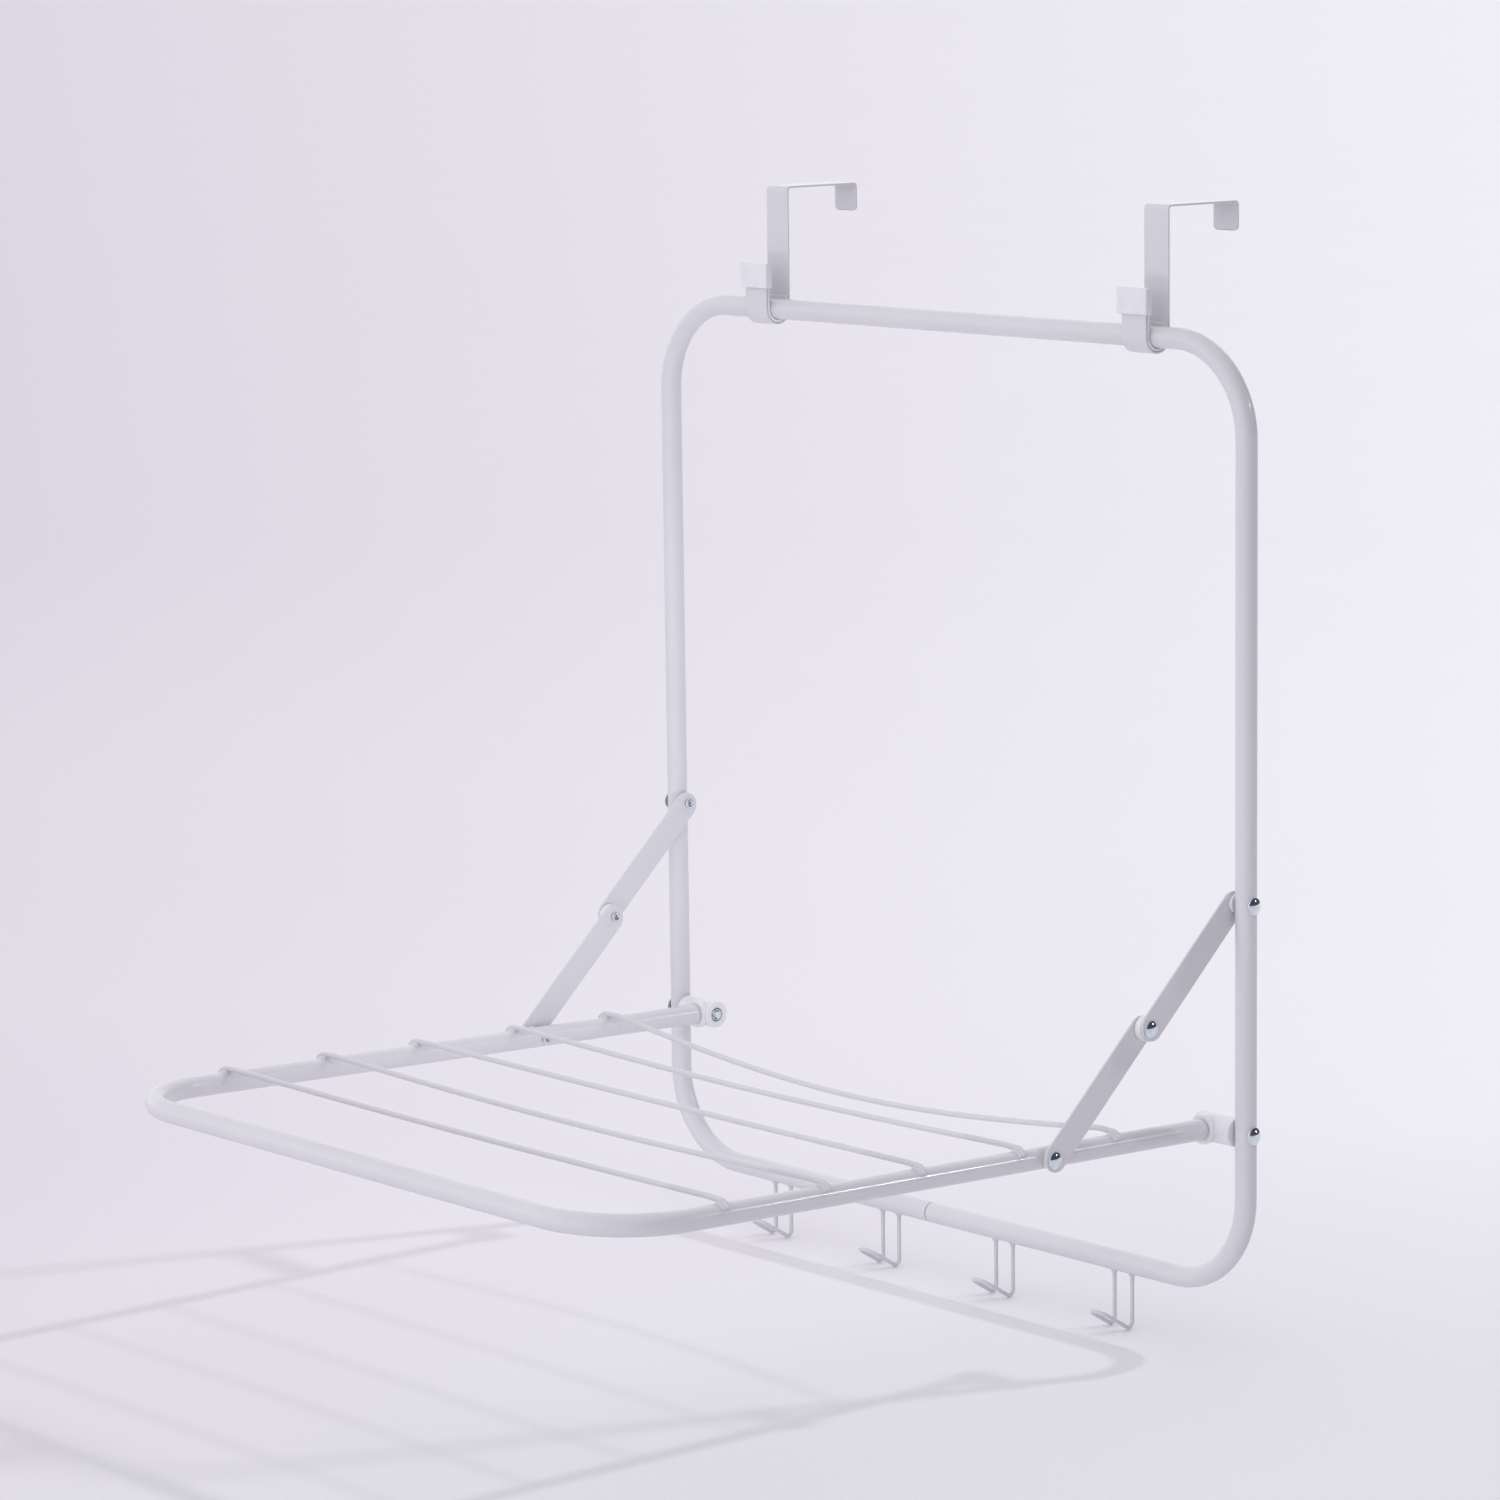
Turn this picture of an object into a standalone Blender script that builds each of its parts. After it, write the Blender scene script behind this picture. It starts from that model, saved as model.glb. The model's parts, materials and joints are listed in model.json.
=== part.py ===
"""Over-door drying rack: a closed tube frame hung from two strap hooks, with a
wire shelf that folds up against it on two jointed braces.

World frame: X runs along the door, Y points into the door, Z is up. The origin
lies on the front edge of the door top, midway across the frame. The shelf is at
rest in its lowered position.
"""

import math

import bmesh
import bpy
from mathutils import Matrix, Vector

# ---------------------------------------------------------------- dimensions (metres)
GAP = 0.0003

TUBE_R = 0.008
TUBE_WALL = 0.001
BEND_R = 0.070
BEND_STEPS = 8
TUBE_RES = 5

FRAME_HALF_W = 0.321
FRAME_H = 0.695
BAR_Z = -0.0935
SEAM_X = -0.0185
SEAM_HALF = 0.0004
SLEEVE_LEN = 0.060
SLEEVE_R = 0.0067
SLEEVE_WALL = 0.0012

STRAP_T = 0.0015
STRAP_W = 0.025
LINER_T = 0.0022
LINER_W = 0.0254
DOOR_SLOT = 0.070
LIP_LEN = 0.020
LIP_CORNER_R = 0.0035
STRAP_BEND_R = 0.003
HOOK_X = {"left": -0.201, "right": 0.219}
LEG_TOP = 0.033
LINER_REAR_TOP = 0.0105
CAP_W = 0.031
CAP_Z0 = 0.0165
CAP_Z1 = 0.0360
CAP_FRONT = 0.0150

LINER_R0 = TUBE_R + GAP
LINER_R1 = LINER_R0 + LINER_T
STRAP_R0 = LINER_R1 + GAP
STRAP_R1 = STRAP_R0 + STRAP_T
TUBE_Y = -STRAP_R1
BOTTOM_Z = BAR_Z - FRAME_H

HINGE_H = 0.1185
TILT = math.radians(1.8)
ARM_X = 0.288
SHELF_D = 0.573
ARM_START = 0.0134
HINGE_Z = BOTTOM_Z + HINGE_H

BRACE_H = 0.170
BRACE_D = 0.1735
LINK_W = 0.0215
LINK_TUCK = 0.0025
LINK_T = 0.002
WASHER_R = 0.007
SPACER_R = 0.0095
RIVET_R = 0.0025
RIVET_HOLE_R = 0.0028
HEAD_R = 0.0065
HEAD_H = 0.0025
TAIL_R = 0.0038
TAIL_LEN = 0.0026

BOLT_R = 0.003
BOLT_HOLE_R = 0.0033
BOLT_HEAD_H = 0.0030
NUT_AF = 0.009
NUT_T = 0.004
BARREL_R = 0.0108
BARREL_X0 = 0.275
COLLAR_R = 0.0112
COLLAR_Y0 = 0.0080
COLLAR_Y1 = 0.0125
PLUG_R = 0.0067
PLUG_END = 0.031
RECESS_R = 0.0056
RECESS_D = 0.0043

WIRE_R = 0.00215
WIRE_H = 0.01085
WIRE_WRAP = (34.0, 47.0, 60.0, 73.0, 86.0, 96.0)
WIRE_Y = (0.1045, 0.1990, 0.2945, 0.3830, 0.4745)
WIRE_DIP = (0.0198, 0.0045, 0.0010, 0.0043, 0.0017)

GARMENT_R = 0.0016
GARMENT_X = (-0.1955, -0.0665, 0.0635, 0.1935)
GARMENT_HALF = 0.0094
GARMENT_CORNER_Z = -0.0516
GARMENT_RISE = math.radians(32.0)
GARMENT_REACH = 0.0287
GARMENT_BEND_R = 0.004

# stack between the upright and the arm, from outside inwards (right-hand side)
X_UP_FACE = FRAME_HALF_W - TUBE_R
X_TOPWASH0 = X_UP_FACE - GAP
X_TOPWASH1 = X_TOPWASH0 - 0.0026
X_ULINK0 = X_TOPWASH1 - GAP
X_ULINK1 = X_ULINK0 - LINK_T
X_SPACER0 = X_ULINK1 - GAP
X_ARM_FACE = ARM_X + TUBE_R
X_BOTWASH1 = X_ARM_FACE + GAP
X_BOTWASH0 = X_BOTWASH1 + 0.0028
X_LLINK1 = X_BOTWASH0 + GAP
X_LLINK0 = X_LLINK1 + LINK_T
X_SPACER1 = X_LLINK0 + GAP

# lengths and rest angles of the brace links
Q_Y = BRACE_D * math.cos(TILT)
Q_Z = BRACE_D * math.sin(TILT)
REACH = math.hypot(Q_Y, BRACE_H - Q_Z)
LINK_1 = (REACH - (BRACE_D - BRACE_H)) / 2
LINK_2 = REACH - LINK_1
SLOPE = math.atan2(BRACE_H - Q_Z, Q_Y)

SIDES = {"left": -1.0, "right": 1.0}

# ---------------------------------------------------------------- clean start
for old in list(bpy.data.objects):
    bpy.data.objects.remove(old, do_unlink=True)

scene = bpy.context.scene
scene.unit_settings.system = "METRIC"
scene.unit_settings.scale_length = 1.0
PARTS = bpy.data.collections.new("over_door_drying_rack")
scene.collection.children.link(PARTS)
CUTTERS = bpy.data.collections.new("cutters")
scene.collection.children.link(CUTTERS)
CUTTERS.hide_render = True


def material(name, colour, metallic, roughness):
    made = bpy.data.materials.new(name)
    made.use_nodes = True
    shader = made.node_tree.nodes["Principled BSDF"]
    shader.inputs["Base Color"].default_value = (*colour, 1.0)
    shader.inputs["Metallic"].default_value = metallic
    shader.inputs["Roughness"].default_value = roughness
    made.diffuse_color = (*colour, 1.0)
    return made


LOOKS = {
    "paint": ((0.80, 0.80, 0.83), 0.0, 0.30),
    "plastic": ((0.84, 0.84, 0.86), 0.0, 0.42),
    "steel": ((0.62, 0.66, 0.72), 1.0, 0.18),
    "dark_steel": ((0.30, 0.31, 0.34), 1.0, 0.40),
}


# ---------------------------------------------------------------- helpers
def add(name, mesh, look, origin=(0.0, 0.0, 0.0), turn=0.0, smooth=True):
    """A named piece whose mesh is written about its own origin."""
    obj = bpy.data.objects.new(name, mesh)
    PARTS.objects.link(obj)
    obj.location = origin
    obj.rotation_euler = (turn, 0.0, 0.0)
    mesh.name = name
    mesh.materials.clear()
    mesh.materials.append(material(name + "_finish", *LOOKS[look]))
    mesh.shade_flat()
    if smooth:
        mesh.shade_smooth()
        mesh.set_sharp_from_angle(angle=math.radians(38))
    return obj


def welded(mesh):
    work = bmesh.new()
    work.from_mesh(mesh)
    bmesh.ops.remove_doubles(work, verts=work.verts, dist=2e-6)
    bmesh.ops.recalc_face_normals(work, faces=work.faces)
    work.to_mesh(mesh)
    work.free()
    return mesh


def evaluated_mesh(obj):
    bpy.context.view_layer.update()
    graph = bpy.context.evaluated_depsgraph_get()
    mesh = bpy.data.meshes.new_from_object(obj.evaluated_get(graph), depsgraph=graph)
    bpy.data.objects.remove(obj, do_unlink=True)
    return mesh


def curve_object(splines, dims):
    data = bpy.data.curves.new("path", "CURVE")
    data.dimensions = dims
    for points, cyclic in splines:
        spline = data.splines.new("POLY")
        spline.points.add(len(points) - 1)
        for spot, point in zip(spline.points, points):
            spot.co = (*point, *(0.0,) * (3 - len(point)), 1.0)
        spline.use_cyclic_u = cyclic
    obj = bpy.data.objects.new("path", data)
    CUTTERS.objects.link(obj)
    return obj


def wire_mesh(points, radius, resolution, caps=True):
    obj = curve_object([(points, False)], "3D")
    obj.data.bevel_depth = radius
    obj.data.bevel_resolution = resolution
    obj.data.use_fill_caps = caps
    return welded(evaluated_mesh(obj))


def pipe_mesh(points, radius, wall, resolution):
    """An open-ended tube: a bevelled curve whose skin is thickened inwards."""
    skin = wire_mesh(points, radius, resolution, caps=False)
    obj = bpy.data.objects.new("skin", skin)
    CUTTERS.objects.link(obj)
    shell = obj.modifiers.new("wall", "SOLIDIFY")
    shell.thickness = wall
    shell.offset = -1.0
    shell.use_even_offset = True
    return welded(evaluated_mesh(obj))


def plate_mesh(outlines, x0, x1):
    """A flat shape drawn in (y, z), filled and extruded from x0 to x1."""
    obj = curve_object([(points, True) for points in outlines], "2D")
    obj.data.fill_mode = "BOTH"
    obj.data.extrude = abs(x1 - x0) / 2
    mesh = evaluated_mesh(obj)
    mesh.transform(Matrix(((0, 0, 1, (x0 + x1) / 2), (1, 0, 0, 0), (0, 1, 0, 0), (0, 0, 0, 1))))
    return welded(mesh)


def turned_mesh(profile, steps):
    """A profile of (radius, height) from top to bottom, turned round Z."""
    mesh = bpy.data.meshes.new("profile")
    rows = [(r, 0.0, h) for r, h in profile]
    mesh.from_pydata(rows, [(i, i + 1) for i in range(len(rows) - 1)], [])
    obj = bpy.data.objects.new("profile", mesh)
    CUTTERS.objects.link(obj)
    screw = obj.modifiers.new("turn", "SCREW")
    screw.steps = steps
    screw.render_steps = steps
    screw.use_merge_vertices = True
    screw.merge_threshold = 0.00005
    return welded(evaluated_mesh(obj))


def along_x(mesh, x, sign, y=0.0, z=0.0):
    """Lays a turned mesh along X: its top points to +X times sign, height 0 at x."""
    spin = Matrix.Rotation(math.radians(90) * sign, 4, "Y")
    mesh.transform(Matrix.Translation((x, y, z)) @ spin)
    return mesh


def rod_mesh(x0, x1, radius, steps, y=0.0, z=0.0):
    low, high = min(x0, x1), max(x0, x1)
    mesh = turned_mesh([(0.0, high - low), (radius, high - low), (radius, 0.0), (0.0, 0.0)], steps)
    return along_x(mesh, low, 1.0, y, z)


def ring_mesh(x0, x1, outer, inner, steps):
    low, high = min(x0, x1), max(x0, x1)
    tall = high - low
    profile = [(inner, tall), (outer, tall), (outer, 0.0), (inner, 0.0), (inner, tall)]
    return along_x(turned_mesh(profile, steps), low, 1.0)


def box_mesh(low, high):
    work = bmesh.new()
    bmesh.ops.create_cube(work, size=1.0)
    for vert in work.verts:
        vert.co = Vector([a + (c + 0.5) * (b - a) for a, b, c in zip(low, high, vert.co)])
    mesh = bpy.data.meshes.new("box")
    work.to_mesh(mesh)
    work.free()
    return mesh


def cutter(name, mesh, origin=(0.0, 0.0, 0.0), turn=0.0):
    obj = bpy.data.objects.new(name, mesh)
    CUTTERS.objects.link(obj)
    obj.location = origin
    obj.rotation_euler = (turn, 0.0, 0.0)
    obj.hide_render = True
    obj.display_type = "WIRE"
    return obj


def combined(mesh, tools):
    """The mesh after a run of Booleans, each an (operation, mesh) pair."""
    base = bpy.data.objects.new("work", mesh)
    CUTTERS.objects.link(base)
    helpers = []
    for number, (operation, other) in enumerate(tools):
        helper = cutter(f"tool_{number}", other)
        helpers.append(helper)
        step = base.modifiers.new(f"step_{number}", "BOOLEAN")
        step.operation = operation
        step.solver = "EXACT"
        step.object = helper
    made = evaluated_mesh(base)
    for helper in helpers:
        bpy.data.objects.remove(helper, do_unlink=True)
    return welded(made)


def arc(cy, cz, radius, start, end, steps):
    out = []
    for i in range(steps + 1):
        angle = math.radians(start + (end - start) * i / steps)
        out.append((cy + radius * math.cos(angle), cz + radius * math.sin(angle)))
    return out


def filleted(points, radius, steps):
    """Rounds every inner corner of a 3-D polyline."""
    points = [Vector(p) for p in points]
    out = [points[0]]
    for before, here, after in zip(points, points[1:], points[2:]):
        a = (before - here).normalized()
        b = (after - here).normalized()
        half = a.angle(b) / 2
        reach = radius / math.tan(half)
        centre = here + (a + b).normalized() * (radius / math.sin(half))
        first = here + a * reach - centre
        last = here + b * reach - centre
        turn = math.pi - 2 * half
        for i in range(steps + 1):
            t = i / steps
            out.append(
                centre
                + (math.sin((1 - t) * turn) * first + math.sin(t * turn) * last) / math.sin(turn)
            )
    out.append(points[-1])
    return [tuple(p) for p in out]


def ribbon(path, thickness):
    """The outline of a strip of even thickness bent along a (y, z) path."""
    left, right = [], []
    for i, here in enumerate(path):
        before = path[max(i - 1, 0)]
        after = path[min(i + 1, len(path) - 1)]
        run = Vector((after[0] - before[0], after[1] - before[1])).normalized()
        if 0 < i < len(path) - 1:
            one = Vector((here[0] - before[0], here[1] - before[1])).normalized()
            grow = 1.0 / max(run.dot(one), 0.5)
        else:
            grow = 1.0
        side = Vector((-run.y, run.x)) * (thickness / 2) * grow
        left.append((here[0] + side.x, here[1] + side.y))
        right.append((here[0] - side.x, here[1] - side.y))
    return left + right[::-1]


def circle(cy, cz, radius, steps):
    return arc(cy, cz, radius, 0, 360 * (steps - 1) / steps, steps - 1)


# ---------------------------------------------------------------- back frame
def frame_path():
    w, r = FRAME_HALF_W - BEND_R, BEND_R
    z0, z1 = BOTTOM_Z + BEND_R, BAR_Z - BEND_R
    loop = [(SEAM_X + SEAM_HALF, BOTTOM_Z)]
    loop += arc(w, z0, r, -90, 0, BEND_STEPS)
    loop += arc(w, z1, r, 0, 90, BEND_STEPS)
    loop += arc(-w, z1, r, 90, 180, BEND_STEPS)
    loop += arc(-w, z0, r, 180, 270, BEND_STEPS)
    loop += [(SEAM_X - SEAM_HALF, BOTTOM_Z)]
    return [(x, TUBE_Y, z) for x, z in loop]


tube = pipe_mesh(frame_path(), TUBE_R, TUBE_WALL, TUBE_RES)
holes = []
for side, s in SIDES.items():
    near, far = s * (X_UP_FACE - 0.004), s * (FRAME_HALF_W + TUBE_R + 0.004)
    holes.append(("DIFFERENCE", rod_mesh(near, far, BOLT_HOLE_R, 16, TUBE_Y, HINGE_Z)))
    holes.append(("DIFFERENCE", rod_mesh(near, far, RIVET_HOLE_R, 16, TUBE_Y, HINGE_Z + BRACE_H)))
add("back_frame_tube", combined(tube, holes), "paint")

sleeve = pipe_mesh(
    [
        (SEAM_X - SLEEVE_LEN / 2, TUBE_Y, BOTTOM_Z),
        (SEAM_X, TUBE_Y, BOTTOM_Z),
        (SEAM_X + SLEEVE_LEN / 2, TUBE_Y, BOTTOM_Z),
    ],
    SLEEVE_R,
    SLEEVE_WALL,
    4,
)
add("frame_joint_sleeve", sleeve, "dark_steel")


# ---------------------------------------------------------------- over-door hooks
def strap_path():
    mid = STRAP_T / 2
    back = DOOR_SLOT + mid
    corner = STRAP_BEND_R
    path = [(back, mid - STRAP_T - LIP_LEN)]
    path += arc(back - corner, mid - corner, corner, 0, 90, 5)
    path += arc(-mid + corner, mid - corner, corner, 90, 180, 5)
    path += [(-mid, BAR_Z + 0.0005)]
    path += arc(TUBE_Y, BAR_Z, STRAP_R0 + mid, 0, -180, 12)
    path += [(TUBE_Y - STRAP_R0 - mid, BAR_Z + LEG_TOP)]
    return path


def lip_corner_cutter(sign):
    """The waste outside one rounded lower corner of the rear lip."""
    half, r = STRAP_W / 2, LIP_CORNER_R
    low = STRAP_T / 2 - STRAP_T - LIP_LEN
    wide = [(half - r, low - 0.002), (half + 0.002, low - 0.002), (half + 0.002, low + r)]
    wide += [(x, z) for x, z in arc(half - r, low + r, r, 0, -90, 6)]
    work = bmesh.new()
    rings = []
    for y in (DOOR_SLOT - 0.004, DOOR_SLOT + 0.006):
        rings.append([work.verts.new((sign * x, y, z)) for x, z in wide])
    work.faces.new(rings[0])
    work.faces.new(rings[1][::-1])
    for i in range(len(wide)):
        j = (i + 1) % len(wide)
        work.faces.new((rings[0][i], rings[1][i], rings[1][j], rings[0][j]))
    bmesh.ops.recalc_face_normals(work, faces=work.faces)
    mesh = bpy.data.meshes.new("lip_corner")
    work.to_mesh(mesh)
    work.free()
    return mesh


def strap_mesh():
    mesh = plate_mesh([ribbon(strap_path(), STRAP_T)], -STRAP_W / 2, STRAP_W / 2)
    return combined(
        mesh,
        [("DIFFERENCE", lip_corner_cutter(1.0)), ("DIFFERENCE", lip_corner_cutter(-1.0))],
    )


def clip_mesh():
    mid = LINER_T / 2
    path = [(TUBE_Y + LINER_R0 + mid, BAR_Z + LINER_REAR_TOP), (TUBE_Y + LINER_R0 + mid, BAR_Z + 0.0005)]
    path += arc(TUBE_Y, BAR_Z, LINER_R0 + mid, 0, -180, 12)
    path += [(TUBE_Y - LINER_R0 - mid, BAR_Z + CAP_Z0 + 0.004)]
    liner = plate_mesh([ribbon(path, LINER_T)], -LINER_W / 2, LINER_W / 2)
    cap = box_mesh(
        (-CAP_W / 2, TUBE_Y - CAP_FRONT, BAR_Z + CAP_Z0),
        (CAP_W / 2, TUBE_Y - LINER_R0 - 0.0001, BAR_Z + CAP_Z1),
    )
    soft = bpy.data.objects.new("cap", cap)
    CUTTERS.objects.link(soft)
    round_off = soft.modifiers.new("edges", "BEVEL")
    round_off.width = 0.0009
    round_off.segments = 2
    cap = welded(evaluated_mesh(soft))
    pocket = box_mesh(
        (-STRAP_W / 2 - GAP, TUBE_Y - STRAP_R1 - GAP, BAR_Z + CAP_Z0 - 0.004),
        (STRAP_W / 2 + GAP, TUBE_Y - STRAP_R0 + GAP, BAR_Z + LEG_TOP + GAP),
    )
    return combined(liner, [("UNION", cap), ("DIFFERENCE", pocket)])


for side, x in HOOK_X.items():
    for name, mesh, look in (
        ("hook_strap_", strap_mesh(), "paint"),
        ("hook_clip_", clip_mesh(), "plastic"),
    ):
        mesh.transform(Matrix.Translation((0.0, 0.0, -BAR_Z)))
        mesh.transform(Matrix.Translation((0.0, -TUBE_Y, 0.0)))
        add(name + side, mesh, look, (x, TUBE_Y, BAR_Z))


# ---------------------------------------------------------------- garment hooks
def garment_path():
    rise = GARMENT_RISE
    forward = Vector((0.0, -math.cos(rise), math.sin(rise)))
    low = Vector((0.0, 0.0, GARMENT_CORNER_Z))
    top = Vector((0.0, 0.0, -TUBE_R - GAP))
    reach = GARMENT_REACH / math.cos(rise)
    straight = reach - GARMENT_HALF
    half = Vector((GARMENT_HALF, 0.0, 0.0))
    end = low + forward * straight
    leg = filleted([top - half, low - half, end - half], GARMENT_BEND_R, 5)
    bow = []
    for i in range(1, 9):
        angle = math.pi * i / 9
        bow.append(
            tuple(end - half * math.cos(angle) + forward * (GARMENT_HALF * math.sin(angle)))
        )
    back = filleted([end + half, low + half, top + half], GARMENT_BEND_R, 5)
    return leg + bow + back


for number, x in enumerate(GARMENT_X, 1):
    add(
        f"garment_hook_{number}",
        wire_mesh(garment_path(), GARMENT_R, 2),
        "paint",
        (x, TUBE_Y, BOTTOM_Z),
    )


# ---------------------------------------------------------------- fasteners
def dome_head(radius, height, steps=3):
    """Outline of a domed head from its top centre down to its flat base."""
    profile = [(0.0, height)]
    for i in range(1, steps + 1):
        profile.append((radius * i / steps, height - 0.8 * height * (i / steps) ** 2.2))
    return profile + [(radius, 0.0)]


def headed_pin(head_x, tip_x, sign, shank, head_r, head_h, tail=None, steps=16):
    """A pin along X. Its head base is at head_x and it runs inwards to tip_x.

    tail is (radius, length) of the formed end beyond the last plate.
    """
    long = abs(head_x - tip_x)
    profile = dome_head(head_r, head_h) + [(shank, 0.0)]
    if tail:
        r, thick = tail
        profile += [
            (shank, -long + thick),
            (r, -long + thick),
            (r, -long + thick * 0.35),
            (r * 0.72, -long),
            (r * 0.40, -long),
            (0.0, -long + thick * 0.25),
        ]
    else:
        edge = shank * 0.18
        profile += [(shank, -long + edge), (shank - edge, -long), (0.0, -long)]
    return along_x(turned_mesh(profile, steps), sign * head_x, sign)


def hex_nut_mesh(x0, x1, across, bore):
    corner = across / 2 / math.cos(math.radians(30))
    outline = [
        (corner * math.cos(math.radians(60 * i)), corner * math.sin(math.radians(60 * i)))
        for i in range(6)
    ]
    return plate_mesh([outline, circle(0.0, 0.0, bore, 16)], x0, x1)


def end_joint_mesh(s):
    x0, x1 = s * BARREL_X0, s * (X_UP_FACE - GAP)
    steps = 22
    edge = 0.0012
    low, high = min(x0, x1), max(x0, x1)
    tall = high - low
    barrel = along_x(
        turned_mesh(
            [
                (0.0, tall),
                (BARREL_R - edge, tall),
                (BARREL_R - edge * 0.3, tall - edge * 0.3),
                (BARREL_R, tall - edge),
                (BARREL_R, edge),
                (BARREL_R - edge * 0.3, edge * 0.3),
                (BARREL_R - edge, 0.0),
                (0.0, 0.0),
            ],
            steps,
        ),
        low,
        1.0,
    )
    # stem towards the arm: neck, collar and the plug inside the tube
    stem = turned_mesh(
        [
            (0.0, PLUG_END),
            (PLUG_R - 0.0008, PLUG_END),
            (PLUG_R, PLUG_END - 0.0008),
            (PLUG_R, COLLAR_Y1),
            (COLLAR_R - 0.0007, COLLAR_Y1),
            (COLLAR_R, COLLAR_Y1 - 0.0007),
            (COLLAR_R, COLLAR_Y0 + 0.0004),
            (COLLAR_R - 0.0009, COLLAR_Y0 - 0.0004),
            (COLLAR_R - 0.0009, -0.0008),
            (0.0, -0.0008),
        ],
        steps,
    )
    stem.transform(Matrix.Translation((s * ARM_X, 0.0, 0.0)) @ Matrix.Rotation(math.radians(90), 4, "X"))
    bore = rod_mesh(x0 - s * 0.004, x1 + s * 0.004, BOLT_HOLE_R, 16)
    recess = rod_mesh(x0 - s * 0.004, x0 + s * RECESS_D, RECESS_R, 20)
    return combined(
        barrel, [("UNION", stem), ("DIFFERENCE", bore), ("DIFFERENCE", recess)]
    )


def link_mesh(length, x0, x1):
    """A flat bar along -Y from its outer eye at the origin, its round ends tucked in."""
    r = LINK_W / 2
    outline = arc(-LINK_TUCK, 0.0, r, -90, 90, 9)
    outline += arc(LINK_TUCK - length, 0.0, r, 90, 270, 9)
    eyes = [circle(0.0, 0.0, RIVET_HOLE_R, 12), circle(-length, 0.0, RIVET_HOLE_R, 12)]
    return plate_mesh([outline] + eyes, x0, x1)


def shifted(mesh, y):
    mesh.transform(Matrix.Translation((0.0, y, 0.0)))
    return mesh


# ---------------------------------------------------------------- shelf
def shelf_path():
    x, r, d = ARM_X, BEND_R, SHELF_D
    path = [(-x, -ARM_START)]
    path += arc(-x + r, -(d - r), r, 180, 270, BEND_STEPS)
    path += arc(x - r, -(d - r), r, 270, 360, BEND_STEPS)
    path += [(x, -ARM_START)]
    return [(px, py, 0.0) for px, py in path]


HINGE = (0.0, TUBE_Y, HINGE_Z)
shelf = pipe_mesh(shelf_path(), TUBE_R, TUBE_WALL, TUBE_RES)
cuts = [
    ("DIFFERENCE", rod_mesh(s * (ARM_X - 0.012), s * (ARM_X + 0.012), RIVET_HOLE_R, 16, -BRACE_D, 0.0))
    for s in SIDES.values()
]
add("shelf_frame_tube", combined(shelf, cuts), "paint", HINGE, -TILT)


def wire_path(y, dip):
    """A sagging rod lying across both arms, its ends wrapped down over their outer sides."""
    wrap = TUBE_R + GAP + WIRE_R

    def end(s):
        out = []
        for degrees in WIRE_WRAP:
            angle = math.radians(degrees)
            out.append(
                (s * (ARM_X + wrap * math.cos(angle)), -y, wrap * math.sin(angle))
            )
        return out

    count = 12 if dip > 0.01 else 6
    span = ARM_X - 0.012
    run = []
    for i in range(count + 1):
        t = -1 + 2 * i / count
        run.append((t * span, -y, WIRE_H - dip * math.cos(math.pi * t / 2)))
    return end(-1.0) + run + end(1.0)[::-1]


for number, (y, dip) in enumerate(zip(WIRE_Y, WIRE_DIP), 1):
    add(
        f"drying_wire_{number}",
        wire_mesh(wire_path(y, dip), WIRE_R, 2),
        "paint",
        HINGE,
        -TILT,
    )


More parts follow.
